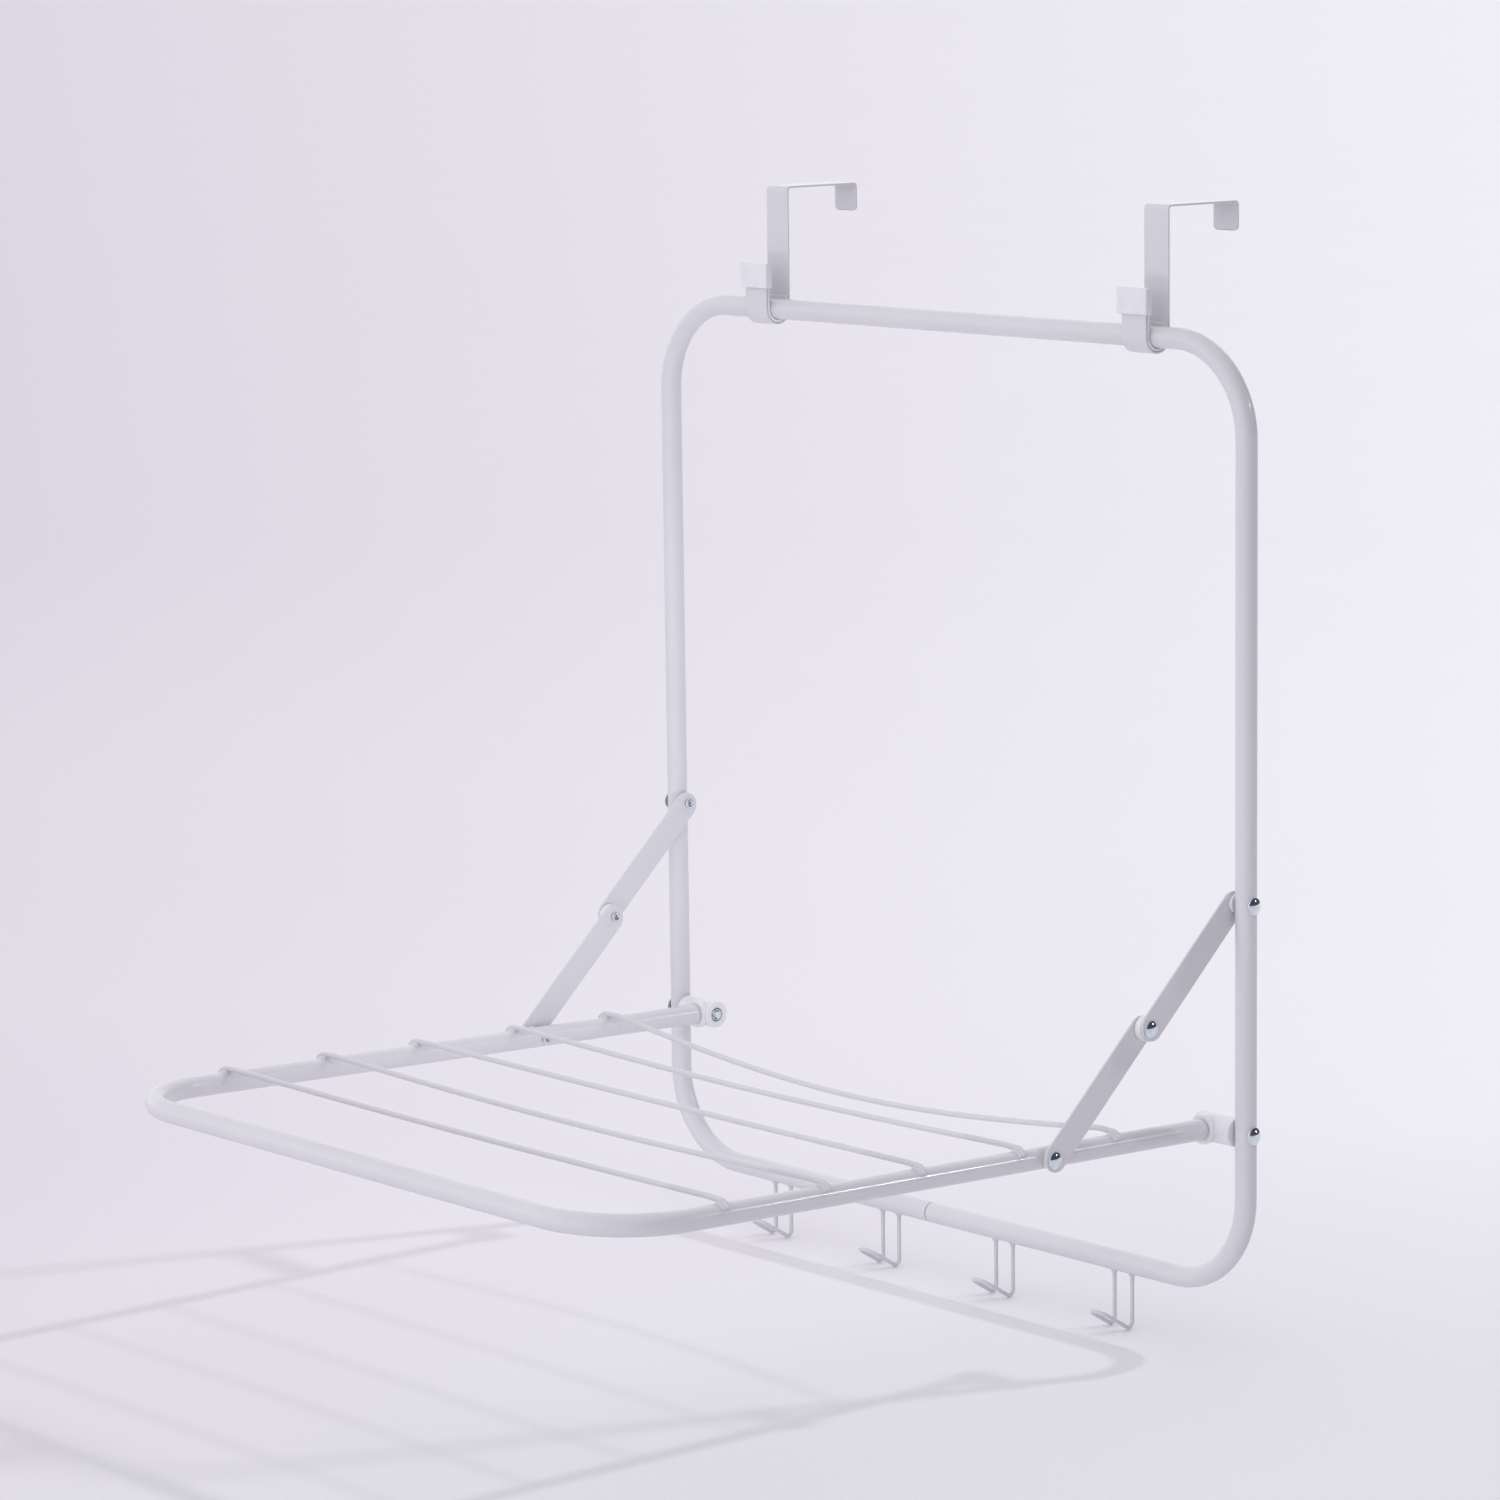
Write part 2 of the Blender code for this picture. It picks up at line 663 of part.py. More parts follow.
# ---------------------------------------------------------------- hinges and braces
for side, s in SIDES.items():
    hinge = (0.0, TUBE_Y, HINGE_Z)
    upper = (0.0, TUBE_Y, HINGE_Z + BRACE_H)
    lower = (0.0, TUBE_Y - Q_Y, HINGE_Z + Q_Z)

    add(f"end_joint_{side}", end_joint_mesh(s), "plastic", hinge, -TILT)
    add(
        f"hinge_bolt_{side}",
        headed_pin(FRAME_HALF_W + TUBE_R + GAP, 0.2732, s, BOLT_R, HEAD_R + 0.0002, BOLT_HEAD_H),
        "steel",
        hinge,
    )
    nut_x = BARREL_X0 + RECESS_D - GAP
    add(
        f"hinge_nut_{side}",
        hex_nut_mesh(s * nut_x, s * (nut_x - NUT_T), NUT_AF, BOLT_HOLE_R),
        "steel",
        hinge,
        smooth=False,
    )

    add(
        f"brace_top_washer_{side}",
        ring_mesh(s * X_TOPWASH0, s * X_TOPWASH1, WASHER_R, RIVET_HOLE_R, 16),
        "plastic",
        upper,
    )
    add(
        f"brace_top_rivet_{side}",
        headed_pin(
            FRAME_HALF_W + TUBE_R + GAP,
            X_SPACER0 - TAIL_LEN,
            s,
            RIVET_R,
            HEAD_R,
            HEAD_H,
            (TAIL_R, TAIL_LEN),
        ),
        "steel",
        upper,
    )
    add(
        f"brace_upper_link_{side}",
        link_mesh(LINK_1, s * X_ULINK0, s * X_ULINK1),
        "paint",
        upper,
        SLOPE,
    )
    add(
        f"brace_mid_rivet_{side}",
        shifted(
            headed_pin(X_ULINK0 + GAP, X_SPACER1, s, RIVET_R, HEAD_R, HEAD_H), -LINK_1
        ),
        "steel",
        upper,
        SLOPE,
    )
    add(
        f"brace_mid_spacer_{side}",
        shifted(ring_mesh(s * X_SPACER0, s * X_SPACER1, SPACER_R, RIVET_HOLE_R, 20), -LINK_1),
        "plastic",
        upper,
        SLOPE,
    )
    add(
        f"brace_lower_link_{side}",
        link_mesh(LINK_2, s * X_LLINK0, s * X_LLINK1),
        "paint",
        lower,
        SLOPE + math.pi,
    )
    stub = turned_mesh(
        [
            (0.0, 0.0),
            (RIVET_R, 0.0),
            (RIVET_R, -LINK_T - GAP),
            (TAIL_R, -LINK_T - GAP),
            (TAIL_R, -LINK_T - GAP - 0.0016),
            (TAIL_R * 0.72, -LINK_T - GAP - 0.0024),
            (TAIL_R * 0.40, -LINK_T - GAP - 0.0024),
            (0.0, -LINK_T - GAP - 0.0018),
        ],
        16,
    )
    add(
        f"brace_mid_rivet_tail_{side}",
        shifted(along_x(stub, s * X_LLINK0, s), -LINK_2),
        "steel",
        lower,
        SLOPE + math.pi,
    )
    add(
        f"brace_bottom_washer_{side}",
        ring_mesh(s * X_BOTWASH0, s * X_BOTWASH1, WASHER_R, RIVET_HOLE_R, 16),
        "plastic",
        lower,
        -TILT,
    )
    add(
        f"brace_bottom_rivet_{side}",
        headed_pin(
            X_LLINK0 + GAP,
            ARM_X - TUBE_R - GAP - TAIL_LEN,
            s,
            RIVET_R,
            HEAD_R,
            HEAD_H,
            (TAIL_R, TAIL_LEN),
        ),
        "steel",
        lower,
        -TILT,
    )

bpy.context.view_layer.update()
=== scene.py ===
import json
import math

import bmesh
import bpy
from mathutils import Matrix, Vector, noise

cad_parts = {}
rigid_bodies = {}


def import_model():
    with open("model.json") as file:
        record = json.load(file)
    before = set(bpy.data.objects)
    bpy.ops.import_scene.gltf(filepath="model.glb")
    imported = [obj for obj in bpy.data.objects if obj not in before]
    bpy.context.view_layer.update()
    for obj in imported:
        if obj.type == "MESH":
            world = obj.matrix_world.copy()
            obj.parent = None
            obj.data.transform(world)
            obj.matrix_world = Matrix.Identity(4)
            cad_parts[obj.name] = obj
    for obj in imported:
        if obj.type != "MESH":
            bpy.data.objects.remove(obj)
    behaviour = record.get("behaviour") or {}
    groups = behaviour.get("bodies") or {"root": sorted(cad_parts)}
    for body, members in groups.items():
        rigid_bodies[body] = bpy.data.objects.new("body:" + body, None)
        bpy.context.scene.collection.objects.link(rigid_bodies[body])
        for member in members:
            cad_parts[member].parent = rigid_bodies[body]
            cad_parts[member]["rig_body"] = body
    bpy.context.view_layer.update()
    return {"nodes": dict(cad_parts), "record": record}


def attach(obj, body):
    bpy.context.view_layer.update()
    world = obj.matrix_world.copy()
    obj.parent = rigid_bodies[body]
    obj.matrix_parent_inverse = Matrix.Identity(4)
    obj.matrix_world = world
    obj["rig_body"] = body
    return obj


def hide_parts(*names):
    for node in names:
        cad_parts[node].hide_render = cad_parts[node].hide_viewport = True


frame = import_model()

# ---------------------------------------------------------------- sizes (metres), as in the CAD
GAP = 0.0003
TUBE_R, TUBE_WALL, BEND_R = 0.008, 0.001, 0.070
FRAME_HALF_W, FRAME_H, BAR_Z = 0.321, 0.695, -0.0935
SEAM_X, SEAM_HALF = -0.0185, 0.0004
SLEEVE_LEN, SLEEVE_R, SLEEVE_WALL = 0.060, 0.0067, 0.0012
STRAP_T, STRAP_W = 0.0015, 0.025
LINER_T, LINER_W = 0.0022, 0.0254
DOOR_SLOT, LIP_LEN, LIP_CORNER_R, STRAP_BEND_R = 0.070, 0.020, 0.0035, 0.003
HOOK_X = {"left": -0.201, "right": 0.219}
LEG_TOP, LINER_REAR_TOP = 0.033, 0.0105
CAP_W, CAP_Z0, CAP_Z1, CAP_FRONT = 0.031, 0.0165, 0.0360, 0.0150
LINER_R0 = TUBE_R + GAP
LINER_R1 = LINER_R0 + LINER_T
STRAP_R0 = LINER_R1 + GAP
STRAP_R1 = STRAP_R0 + STRAP_T
TUBE_Y = -STRAP_R1
BOTTOM_Z = BAR_Z - FRAME_H
HINGE_Z = BOTTOM_Z + 0.1185
TILT = math.radians(1.8)
ARM_X, SHELF_D, ARM_START = 0.288, 0.573, 0.0134
BRACE_H, BRACE_D = 0.170, 0.1735
LINK_W, LINK_T, LINK_TUCK = 0.0215, 0.002, 0.0025
WASHER_R, SPACER_R, RIVET_R, RIVET_HOLE_R = 0.007, 0.0095, 0.0025, 0.0028
HEAD_R, HEAD_H, TAIL_R, TAIL_LEN = 0.0065, 0.0025, 0.0038, 0.0026
BOLT_R, BOLT_HOLE_R, BOLT_HEAD_H = 0.003, 0.0033, 0.0030
NUT_AF, NUT_T = 0.009, 0.004
BARREL_R, BARREL_X0 = 0.0108, 0.275
COLLAR_R, COLLAR_Y0, COLLAR_Y1 = 0.0112, 0.0080, 0.0125
PLUG_R, PLUG_END, RECESS_R, RECESS_D = 0.0067, 0.031, 0.0056, 0.0043
WIRE_R, WIRE_H, WIRE_WRAP = 0.00215, 0.01085, 34.0
WIRE_Y = (0.1045, 0.1990, 0.2945, 0.3830, 0.4745)
WIRE_DIP = (0.0198, 0.0045, 0.0010, 0.0043, 0.0017)
GARMENT_R, GARMENT_HALF, GARMENT_CORNER_Z = 0.0016, 0.0094, -0.0516
GARMENT_X = (-0.1955, -0.0665, 0.0635, 0.1935)
GARMENT_RISE, GARMENT_REACH, GARMENT_BEND_R = math.radians(32.0), 0.0287, 0.004

X_UP_FACE = FRAME_HALF_W - TUBE_R
X_TOPWASH0 = X_UP_FACE - GAP
X_TOPWASH1 = X_TOPWASH0 - 0.0026
X_ULINK0 = X_TOPWASH1 - GAP
X_ULINK1 = X_ULINK0 - LINK_T
X_SPACER0 = X_ULINK1 - GAP
X_BOTWASH1 = ARM_X + TUBE_R + GAP
X_BOTWASH0 = X_BOTWASH1 + 0.0028
X_LLINK1 = X_BOTWASH0 + GAP
X_LLINK0 = X_LLINK1 + LINK_T
X_SPACER1 = X_LLINK0 + GAP

Q_Y, Q_Z = BRACE_D * math.cos(TILT), BRACE_D * math.sin(TILT)
REACH = math.hypot(Q_Y, BRACE_H - Q_Z)
LINK_1 = (REACH - (BRACE_D - BRACE_H)) / 2
LINK_2 = REACH - LINK_1
SLOPE = math.atan2(BRACE_H - Q_Z, Q_Y)
SIDES = {"left": -1.0, "right": 1.0}
FLOOR_Z = -0.8390


def turned_to(origin, turn=0.0):
    return Matrix.Translation(origin) @ Matrix.Rotation(turn, 4, "X")


HINGE = (0.0, TUBE_Y, HINGE_Z)
AT_SHELF = turned_to(HINGE, -TILT)
AT_UPPER = turned_to((0.0, TUBE_Y, HINGE_Z + BRACE_H), SLOPE)
AT_TOP = turned_to((0.0, TUBE_Y, HINGE_Z + BRACE_H))
AT_LOWER = turned_to((0.0, TUBE_Y - Q_Y, HINGE_Z + Q_Z), SLOPE + math.pi)
AT_BOTTOM = turned_to((0.0, TUBE_Y - Q_Y, HINGE_Z + Q_Z), -TILT)


# ---------------------------------------------------------------- materials
class Look:
    """A material with small helpers for its node tree."""

    def __init__(self, name):
        self.made = bpy.data.materials.new(name)
        self.made.use_nodes = True
        self.tree = self.made.node_tree
        self.shader = self.tree.nodes["Principled BSDF"]

    def add(self, kind, **values):
        node = self.tree.nodes.new(kind)
        for key, value in values.items():
            setattr(node, key, value)
        return node

    def link(self, source, target):
        self.tree.links.new(source, target)

    def set(self, **values):
        for key, value in values.items():
            self.shader.inputs[key.replace("_", " ")].default_value = value

    def noise(self, where, scale, detail=3.0, rough=0.5, distort=0.0):
        node = self.add("ShaderNodeTexNoise")
        node.inputs["Scale"].default_value = scale
        node.inputs["Detail"].default_value = detail
        node.inputs["Roughness"].default_value = rough
        node.inputs["Distortion"].default_value = distort
        self.link(where, node.inputs["Vector"])
        return node.outputs["Fac"]

    def span(self, value, a, b, low, high):
        node = self.add("ShaderNodeMapRange")
        for key, number in (("From Min", a), ("From Max", b), ("To Min", low), ("To Max", high)):
            node.inputs[key].default_value = number
        self.link(value, node.inputs["Value"])
        return node.outputs["Result"]

    def mix(self, factor, first, second, mode="MIX"):
        node = self.add("ShaderNodeMix", data_type="RGBA", blend_type=mode)
        if isinstance(factor, float):
            node.inputs[0].default_value = factor
        else:
            self.link(factor, node.inputs[0])
        for slot, colour in ((6, first), (7, second)):
            if isinstance(colour, tuple):
                node.inputs[slot].default_value = (*colour, 1.0)
            else:
                self.link(colour, node.inputs[slot])
        return node.outputs[2]

    def maths(self, operation, first, second):
        node = self.add("ShaderNodeMath", operation=operation)
        for slot, value in ((0, first), (1, second)):
            if isinstance(value, (int, float)):
                node.inputs[slot].default_value = value
            else:
                self.link(value, node.inputs[slot])
        return node.outputs[0]

    def bump(self, height, strength, distance, below=None):
        node = self.add("ShaderNodeBump")
        node.inputs["Strength"].default_value = strength
        node.inputs["Distance"].default_value = distance
        self.link(height, node.inputs["Height"])
        if below is not None:
            self.link(below, node.inputs["Normal"])
        return node.outputs["Normal"]


def powder_coat(name, tint, peel_scale, peel, coat=0.55):
    """Glossy white powder coat: orange peel, faint cloudiness, painted shade in concave corners."""
    look = Look(name)
    where = look.add("ShaderNodeTexCoord").outputs["Object"]
    cloud = look.noise(where, 9.0, 4.0, 0.55)
    speck = look.noise(where, 420.0, 2.0, 0.6)
    low = tuple(c * 0.984 for c in tint)
    high = tuple(min(1.0, c * 1.008) for c in tint)
    colour = look.mix(look.span(cloud, 0.32, 0.68, 0.0, 1.0), low, high)
    dust = tuple(c * k for c, k in zip(tint, (0.90, 0.90, 0.91)))
    colour = look.mix(look.span(speck, 0.66, 0.80, 0.0, 0.20), colour, dust)
    # painted shade: concave corners and creases (low pointiness) are darkened, standing in for the shade that falls
    # there
    edge = look.add("ShaderNodeNewGeometry").outputs["Pointiness"]
    painted_crease_shade = tuple(c * k for c, k in zip(tint, (0.86, 0.86, 0.88)))
    colour = look.mix(look.span(edge, 0.49, 0.44, 0.0, 0.6), colour, painted_crease_shade)
    look.link(colour, look.shader.inputs["Base Color"])
    look.link(look.span(look.noise(where, 55.0, 3.0), 0.3, 0.7, 0.33, 0.37), look.shader.inputs["Roughness"])
    skin = look.noise(where, peel_scale, 2.0, 0.4)
    ripple = look.noise(where, peel_scale * 0.22, 2.0, 0.5)
    normal = look.bump(skin, peel, 0.00004)
    normal = look.bump(ripple, peel * 0.4, 0.00010, normal)
    look.link(normal, look.shader.inputs["Normal"])
    look.link(normal, look.shader.inputs["Coat Normal"])
    look.set(Coat_Weight=coat, Coat_Roughness=0.10, Coat_IOR=1.5, IOR=1.5, Specular_IOR_Level=0.4)
    return look.made


def moulded_plastic(name, tint):
    look = Look(name)
    where = look.add("ShaderNodeTexCoord").outputs["Object"]
    cloud = look.noise(where, 60.0, 4.0, 0.6)
    low = tuple(c * 0.95 for c in tint)
    colour = look.mix(look.span(cloud, 0.35, 0.65, 0.0, 1.0), low, tint)
    # painted shade: concave corners and creases (low pointiness) are darkened towards 0.84 of the tint
    edge = look.add("ShaderNodeNewGeometry").outputs["Pointiness"]
    colour = look.mix(look.span(edge, 0.49, 0.43, 0.0, 0.5), colour, tuple(c * 0.84 for c in tint))
    look.link(colour, look.shader.inputs["Base Color"])
    look.link(look.span(look.noise(where, 180.0, 2.0), 0.3, 0.7, 0.26, 0.38), look.shader.inputs["Roughness"])
    grain = look.noise(where, 2600.0, 2.0, 0.6)
    flow = look.noise(where, 130.0, 2.0, 0.4, 0.6)
    normal = look.bump(flow, 0.25, 0.00012, look.bump(grain, 0.35, 0.00002))
    look.link(normal, look.shader.inputs["Normal"])
    look.set(
        Subsurface_Weight=0.12, Subsurface_Scale=0.002, Subsurface_Radius=(0.9, 0.9, 1.0),
        Specular_IOR_Level=0.5, IOR=1.49,
    )
    return look.made


def bright_metal(name, tint, rough_low, rough_high, turning):
    """Zinc-plated steel with turning marks round each fastener's own axis."""
    look = Look(name)
    where = look.add("ShaderNodeTexCoord").outputs["Object"]
    spin = look.add("ShaderNodeAttribute", attribute_name="turn_radius").outputs["Fac"]
    rings = look.maths("SINE", look.maths("MULTIPLY", spin, 9000.0), 0.0)
    haze = look.noise(where, 350.0, 4.0, 0.6)
    stain = look.noise(where, 1300.0, 3.0, 0.6)
    colour = look.mix(look.span(haze, 0.35, 0.7, 0.0, 1.0), tint, tuple(c * 0.84 for c in tint))
    colour = look.mix(look.span(stain, 0.62, 0.74, 0.0, 0.4), colour, tuple(c * 0.6 for c in tint))
    look.link(colour, look.shader.inputs["Base Color"])
    look.link(look.span(haze, 0.3, 0.7, rough_low, rough_high), look.shader.inputs["Roughness"])
    scratch = look.noise(where, 4200.0, 2.0, 0.7)
    normal = look.bump(scratch, 0.10, 0.00002, look.bump(rings, turning, 0.00002))
    look.link(normal, look.shader.inputs["Normal"])
    look.set(Metallic=1.0, Specular_IOR_Level=0.5)
    return look.made


PAINT = powder_coat("powder_coat_white", (0.626, 0.622, 0.660), 1500.0, 0.12, 0.38)
# painted shade: the rods wear the frame's own white paint, drawn as a darker copy of it
SHADED_WIRE_PAINT = powder_coat("powder_coat_wire_shaded", (0.595, 0.591, 0.628), 2300.0, 0.10, 0.30)
PLASTIC = moulded_plastic("moulded_white_plastic", (0.745, 0.745, 0.780))
ZINC = bright_metal("bright_zinc", (0.80, 0.85, 0.90), 0.07, 0.16, 0.06)
# the sleeve, seen only through the seam, is drawn with a near-black tint
STEEL = bright_metal("bare_sleeve_steel", (0.05, 0.05, 0.06), 0.5, 0.6, 0.1)


# ---------------------------------------------------------------- mesh building
class Build:
    def __init__(self):
        self.verts = []
        self.faces = []
        self.turn = {}

    def ring(self, points):
        start = len(self.verts)
        self.verts += [tuple(p) for p in points]
        return list(range(start, start + len(points)))

    def bridge(self, one, two):
        count = len(one)
        if len(two) == 1:
            for i in range(count):
                self.faces.append((one[i], one[(i + 1) % count], two[0]))
        elif count == 1:
            for i in range(len(two)):
                self.faces.append((one[0], two[(i + 1) % len(two)], two[i]))
        else:
            for i in range(count):
                j = (i + 1) % count
                self.faces.append((one[i], one[j], two[j], two[i]))

    def rows(self, rings, closed=False):
        for one, two in zip(rings, rings[1:]):
            self.bridge(one, two)
        if closed:
            self.bridge(rings[-1], rings[0])

    def cap(self, ring):
        """Closes a ring with a fan about its middle."""
        if len(ring) < 3:
            return
        middle = sum((Vector(self.verts[i]) for i in ring), Vector()) / len(ring)
        hub = self.ring([middle])
        self.bridge(ring, hub)

    def mesh(self, name):
        made = bpy.data.meshes.new(name)
        made.from_pydata(self.verts, [], self.faces)
        if self.turn:
            spin = made.attributes.new("turn_radius", "FLOAT", "POINT")
            spin.data.foreach_set("value", [self.turn.get(i, 0.0) for i in range(len(self.verts))])
        return tidy(made)


def tidy(mesh):
    work = bmesh.new()
    work.from_mesh(mesh)
    bmesh.ops.remove_doubles(work, verts=work.verts, dist=1e-7)
    bmesh.ops.recalc_face_normals(work, faces=work.faces)
    work.to_mesh(mesh)
    work.free()
    return mesh


def evaluated(obj):
    bpy.context.view_layer.update()
    graph = bpy.context.evaluated_depsgraph_get()
    made = bpy.data.meshes.new_from_object(obj.evaluated_get(graph), depsgraph=graph)
    bpy.data.objects.remove(obj, do_unlink=True)
    return made


def combined(mesh, tools):
    """The mesh after Booleans, each an (operation, mesh) pair."""
    base = bpy.data.objects.new("work", mesh)
    bpy.context.scene.collection.objects.link(base)
    helpers = []
    for number, (operation, other) in enumerate(tools):
        helper = bpy.data.objects.new(f"tool_{number}", other)
        bpy.context.scene.collection.objects.link(helper)
        helpers.append(helper)
        step = base.modifiers.new(f"step_{number}", "BOOLEAN")
        step.operation = operation
        step.solver = "EXACT"
        step.object = helper
    made = evaluated(base)
    for helper in helpers:
        bpy.data.objects.remove(helper, do_unlink=True)
    return tidy(made)


SLOTS = {}
for _row in frame["record"]["materials"]:
    SLOTS[_row["slot"]] = _row
for _slot in ("white_paint", "white_plastic", "bright_zinc", "sleeve_steel"):
    assert _slot in SLOTS, _slot
FINISH = {
    "paint": (PAINT, "white_paint"),
    "wire": (SHADED_WIRE_PAINT, "white_paint"),
    "plastic": (PLASTIC, "white_plastic"),
    "zinc": (ZINC, "bright_zinc"),
    "steel": (STEEL, "sleeve_steel"),
}


def piece(node, mesh, finish, place=None, sharp=40.0, weighted=False):
    """Puts a finished mesh in the scene in place of a CAD node."""
    look, slot = FINISH[finish]
    if place is not None:
        mesh.transform(place)
    mesh.materials.clear()
    mesh.materials.append(look)
    mesh.shade_smooth()
    mesh.set_sharp_from_angle(angle=math.radians(sharp))
    obj = bpy.data.objects.new(node + "_look", mesh)
    mesh.name = node + "_look"
    bpy.context.scene.collection.objects.link(obj)
    if weighted:
        even = obj.modifiers.new("even_normals", "WEIGHTED_NORMAL")
        even.keep_sharp = True
        even.weight = 90
    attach(obj, frame["nodes"][node]["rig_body"])
    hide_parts(node)
    return obj


def arc(cy, cz, radius, start, end, steps):
    out = []
    for i in range(steps + 1):
        angle = math.radians(start + (end - start) * i / steps)
        out.append((cy + radius * math.cos(angle), cz + radius * math.sin(angle)))
    return out


def filleted(points, radius, steps):
    points = [Vector(p) for p in points]
    out = [points[0]]
    for before, here, after in zip(points, points[1:], points[2:]):
        a = (before - here).normalized()
        b = (after - here).normalized()
        half = a.angle(b) / 2
        reach = radius / math.tan(half)
        centre = here + (a + b).normalized() * (radius / math.sin(half))
        first = here + a * reach - centre
        last = here + b * reach - centre
        turn = math.pi - 2 * half
        for i in range(steps + 1):
            t = i / steps
            out.append(centre + (math.sin((1 - t) * turn) * first + math.sin(t * turn) * last) / math.sin(turn))
    out.append(points[-1])
    return out


def carried(points, first):
    """(point, tangent, normal, binormal) along a path, carried without twist."""
    points = [Vector(p) for p in points]
    out = []
    normal = Vector(first)
    for i, here in enumerate(points):
        before = points[max(i - 1, 0)]
        after = points[min(i + 1, len(points) - 1)]
        one = (here - before).normalized() if i else (after - here).normalized()
        two = (after - here).normalized() if i < len(points) - 1 else one
        tangent = (one + two).normalized()
        normal = (normal - tangent * normal.dot(tangent)).normalized()
        grow = 1.0 / max(tangent.dot(one), 0.7)
        out.append((here, tangent, normal.copy(), tangent.cross(normal), grow))
    return out


def loop_at(station, radius, segments, shift=0.0, squash=0.0):
    here, tangent, normal, side, grow = station
    out = []
    for k in range(segments):
        a = 2 * math.pi * k / segments
        out.append(
            here
            + tangent * shift
            + normal * (radius * (1 + squash) * math.cos(a))
            + side * (radius * (1 - squash) * math.sin(a))
        )
    return out


def wire(build, points, first, radius, segments, edge=0.0005):
    """A solid round rod with slightly rounded cut ends."""
    line = carried(points, first)
    rings = []
    for end, stations in ((0, line[:1]), (1, line[1:-1]), (2, line[-1:])):
        for station in stations:
            if end == 1:
                rings.append(build.ring(loop_at(station, radius, segments)))
                continue
            turns = [0, 30, 60, 90]
            for turn in turns if end == 0 else turns[::-1]:
                t = math.radians(turn)
                r = radius - edge * (1 - math.sin(t))
                shift = edge * (1 - math.cos(t))
                rings.append(build.ring(loop_at(station, r, segments, shift if end == 0 else -shift)))
    build.rows(rings)
    build.cap(rings[0])
    build.cap(rings[-1])


def pipe(build, points, first, outer, inner, segments, squash=None, lip=0.0004):
    """An open tube with both walls and rounded end lips."""
    line = carried(points, first)
    last = len(line) - 1
    oval = squash or [0.0] * len(line)
    rings = []

    def end(index, sign, radius, sense):
        found = []
        for turn in (0, 30, 60, 90):
            t = math.radians(turn)
            r = radius - sense * lip * (1 - math.sin(t))
            found.append(build.ring(loop_at(line[index], r, segments, sign * lip * (1 - math.cos(t)))))
        return found

    rings += end(0, 1, outer, 1)
    rings += [build.ring(loop_at(line[i], outer, segments, 0, oval[i])) for i in range(1, last)]
    rings += end(last, -1, outer, 1)[::-1]
    rings += end(last, -1, inner, -0.5)
    rings += [build.ring(loop_at(line[i], inner, segments, 0, oval[i])) for i in range(last - 1, 0, -1)]
    rings += end(0, 1, inner, -0.5)[::-1]
    build.rows(rings, closed=True)


def lathe(build, profile, steps, place, closed=False, ripple=None):
    """A profile of (radius, height) turned round local Z."""
    rings = []
    for radius, height in profile:
        if radius < 1e-9:
            ring = build.ring([place @ Vector((0.0, 0.0, height))])
        else:
            points = []
            for k in range(steps):
                a = 2 * math.pi * k / steps
                r = radius + (ripple(radius, height, a) if ripple else 0.0)
                points.append(place @ Vector((r * math.cos(a), r * math.sin(a), height)))
            ring = build.ring(points)
        for i in ring:
            build.turn[i] = radius
        rings.append(ring)
    build.rows(rings, closed)


def lying(x, sign, y=0.0, z=0.0):
    """Lays a turned shape along X: its top points to +X times sign, height 0 at x."""
    return Matrix.Translation((x, y, z)) @ Matrix.Rotation(math.radians(90) * sign, 4, "Y")


def rod_mesh(x0, x1, radius, steps, y=0.0, z=0.0):
    build = Build()
    low, high = min(x0, x1), max(x0, x1)
    lathe(build, [(0.0, high - low), (radius, high - low), (radius, 0.0), (0.0, 0.0)], steps, lying(low, 1.0, y, z))
    return build.mesh("rod")


def rounded(points, radius, steps=4):
    """Rounds the inner corners of a (radius, height) profile."""
    out = [points[0]]
    for before, here, after in zip(points, points[1:], points[2:]):
        a = Vector(before) - Vector(here)
        b = Vector(after) - Vector(here)
        r = min(radius, a.length * 0.45, b.length * 0.45)
        start, stop = Vector(here) + a.normalized() * r, Vector(here) + b.normalized() * r
        for i in range(steps + 1):
            t = i / steps
            mid = start * (1 - t) ** 2 + Vector(here) * 2 * t * (1 - t) + stop * t * t
            out.append((mid.x, mid.y))
    out.append(points[-1])
    return out


# ---------------------------------------------------------------- back frame
def spread(start, end, count):
    return [start + (end - start) * i / count for i in range(1, count)]


def frame_points(steps):
    w, r = FRAME_HALF_W - BEND_R, BEND_R
    z0, z1 = BOTTOM_Z + BEND_R, BAR_Z - BEND_R
    marks = []
    for middle in (HINGE_Z, HINGE_Z + BRACE_H):
        marks += [middle - 0.012, middle + 0.012]
    up = [marks[0], marks[1]] + [0.5 * (marks[1] + marks[2])] + [marks[2], marks[3]]
    up += spread(marks[3], z1, 4)
    loop = [(SEAM_X + SEAM_HALF, BOTTOM_Z), (SEAM_X + SEAM_HALF + 0.002, BOTTOM_Z)]
    loop += [(x, BOTTOM_Z) for x in spread(SEAM_X, w, 4)]
    bends = {}
    bends[len(loop)] = steps
    loop += arc(w, z0, r, -90, 0, steps)
    loop += [(FRAME_HALF_W, z) for z in up]
    bends[len(loop)] = steps
    loop += arc(w, z1, r, 0, 90, steps)
    loop += [(x, BAR_Z) for x in spread(w, -w, 6)]
    bends[len(loop)] = steps
    loop += arc(-w, z1, r, 90, 180, steps)
    loop += [(-FRAME_HALF_W, z) for z in up[::-1]]
    bends[len(loop)] = steps
    loop += arc(-w, z0, r, 180, 270, steps)
    loop += [(x, BOTTOM_Z) for x in spread(-w, SEAM_X, 4)]
    loop += [(SEAM_X - SEAM_HALF - 0.002, BOTTOM_Z), (SEAM_X - SEAM_HALF, BOTTOM_Z)]
    oval = [0.0] * len(loop)
    for start, count in bends.items():
        for i in range(count + 1):
            oval[start + i] = 0.018 * max(math.sin(math.pi * i / count), 0.0) ** 0.5
    return [(x, TUBE_Y, z) for x, z in loop], oval


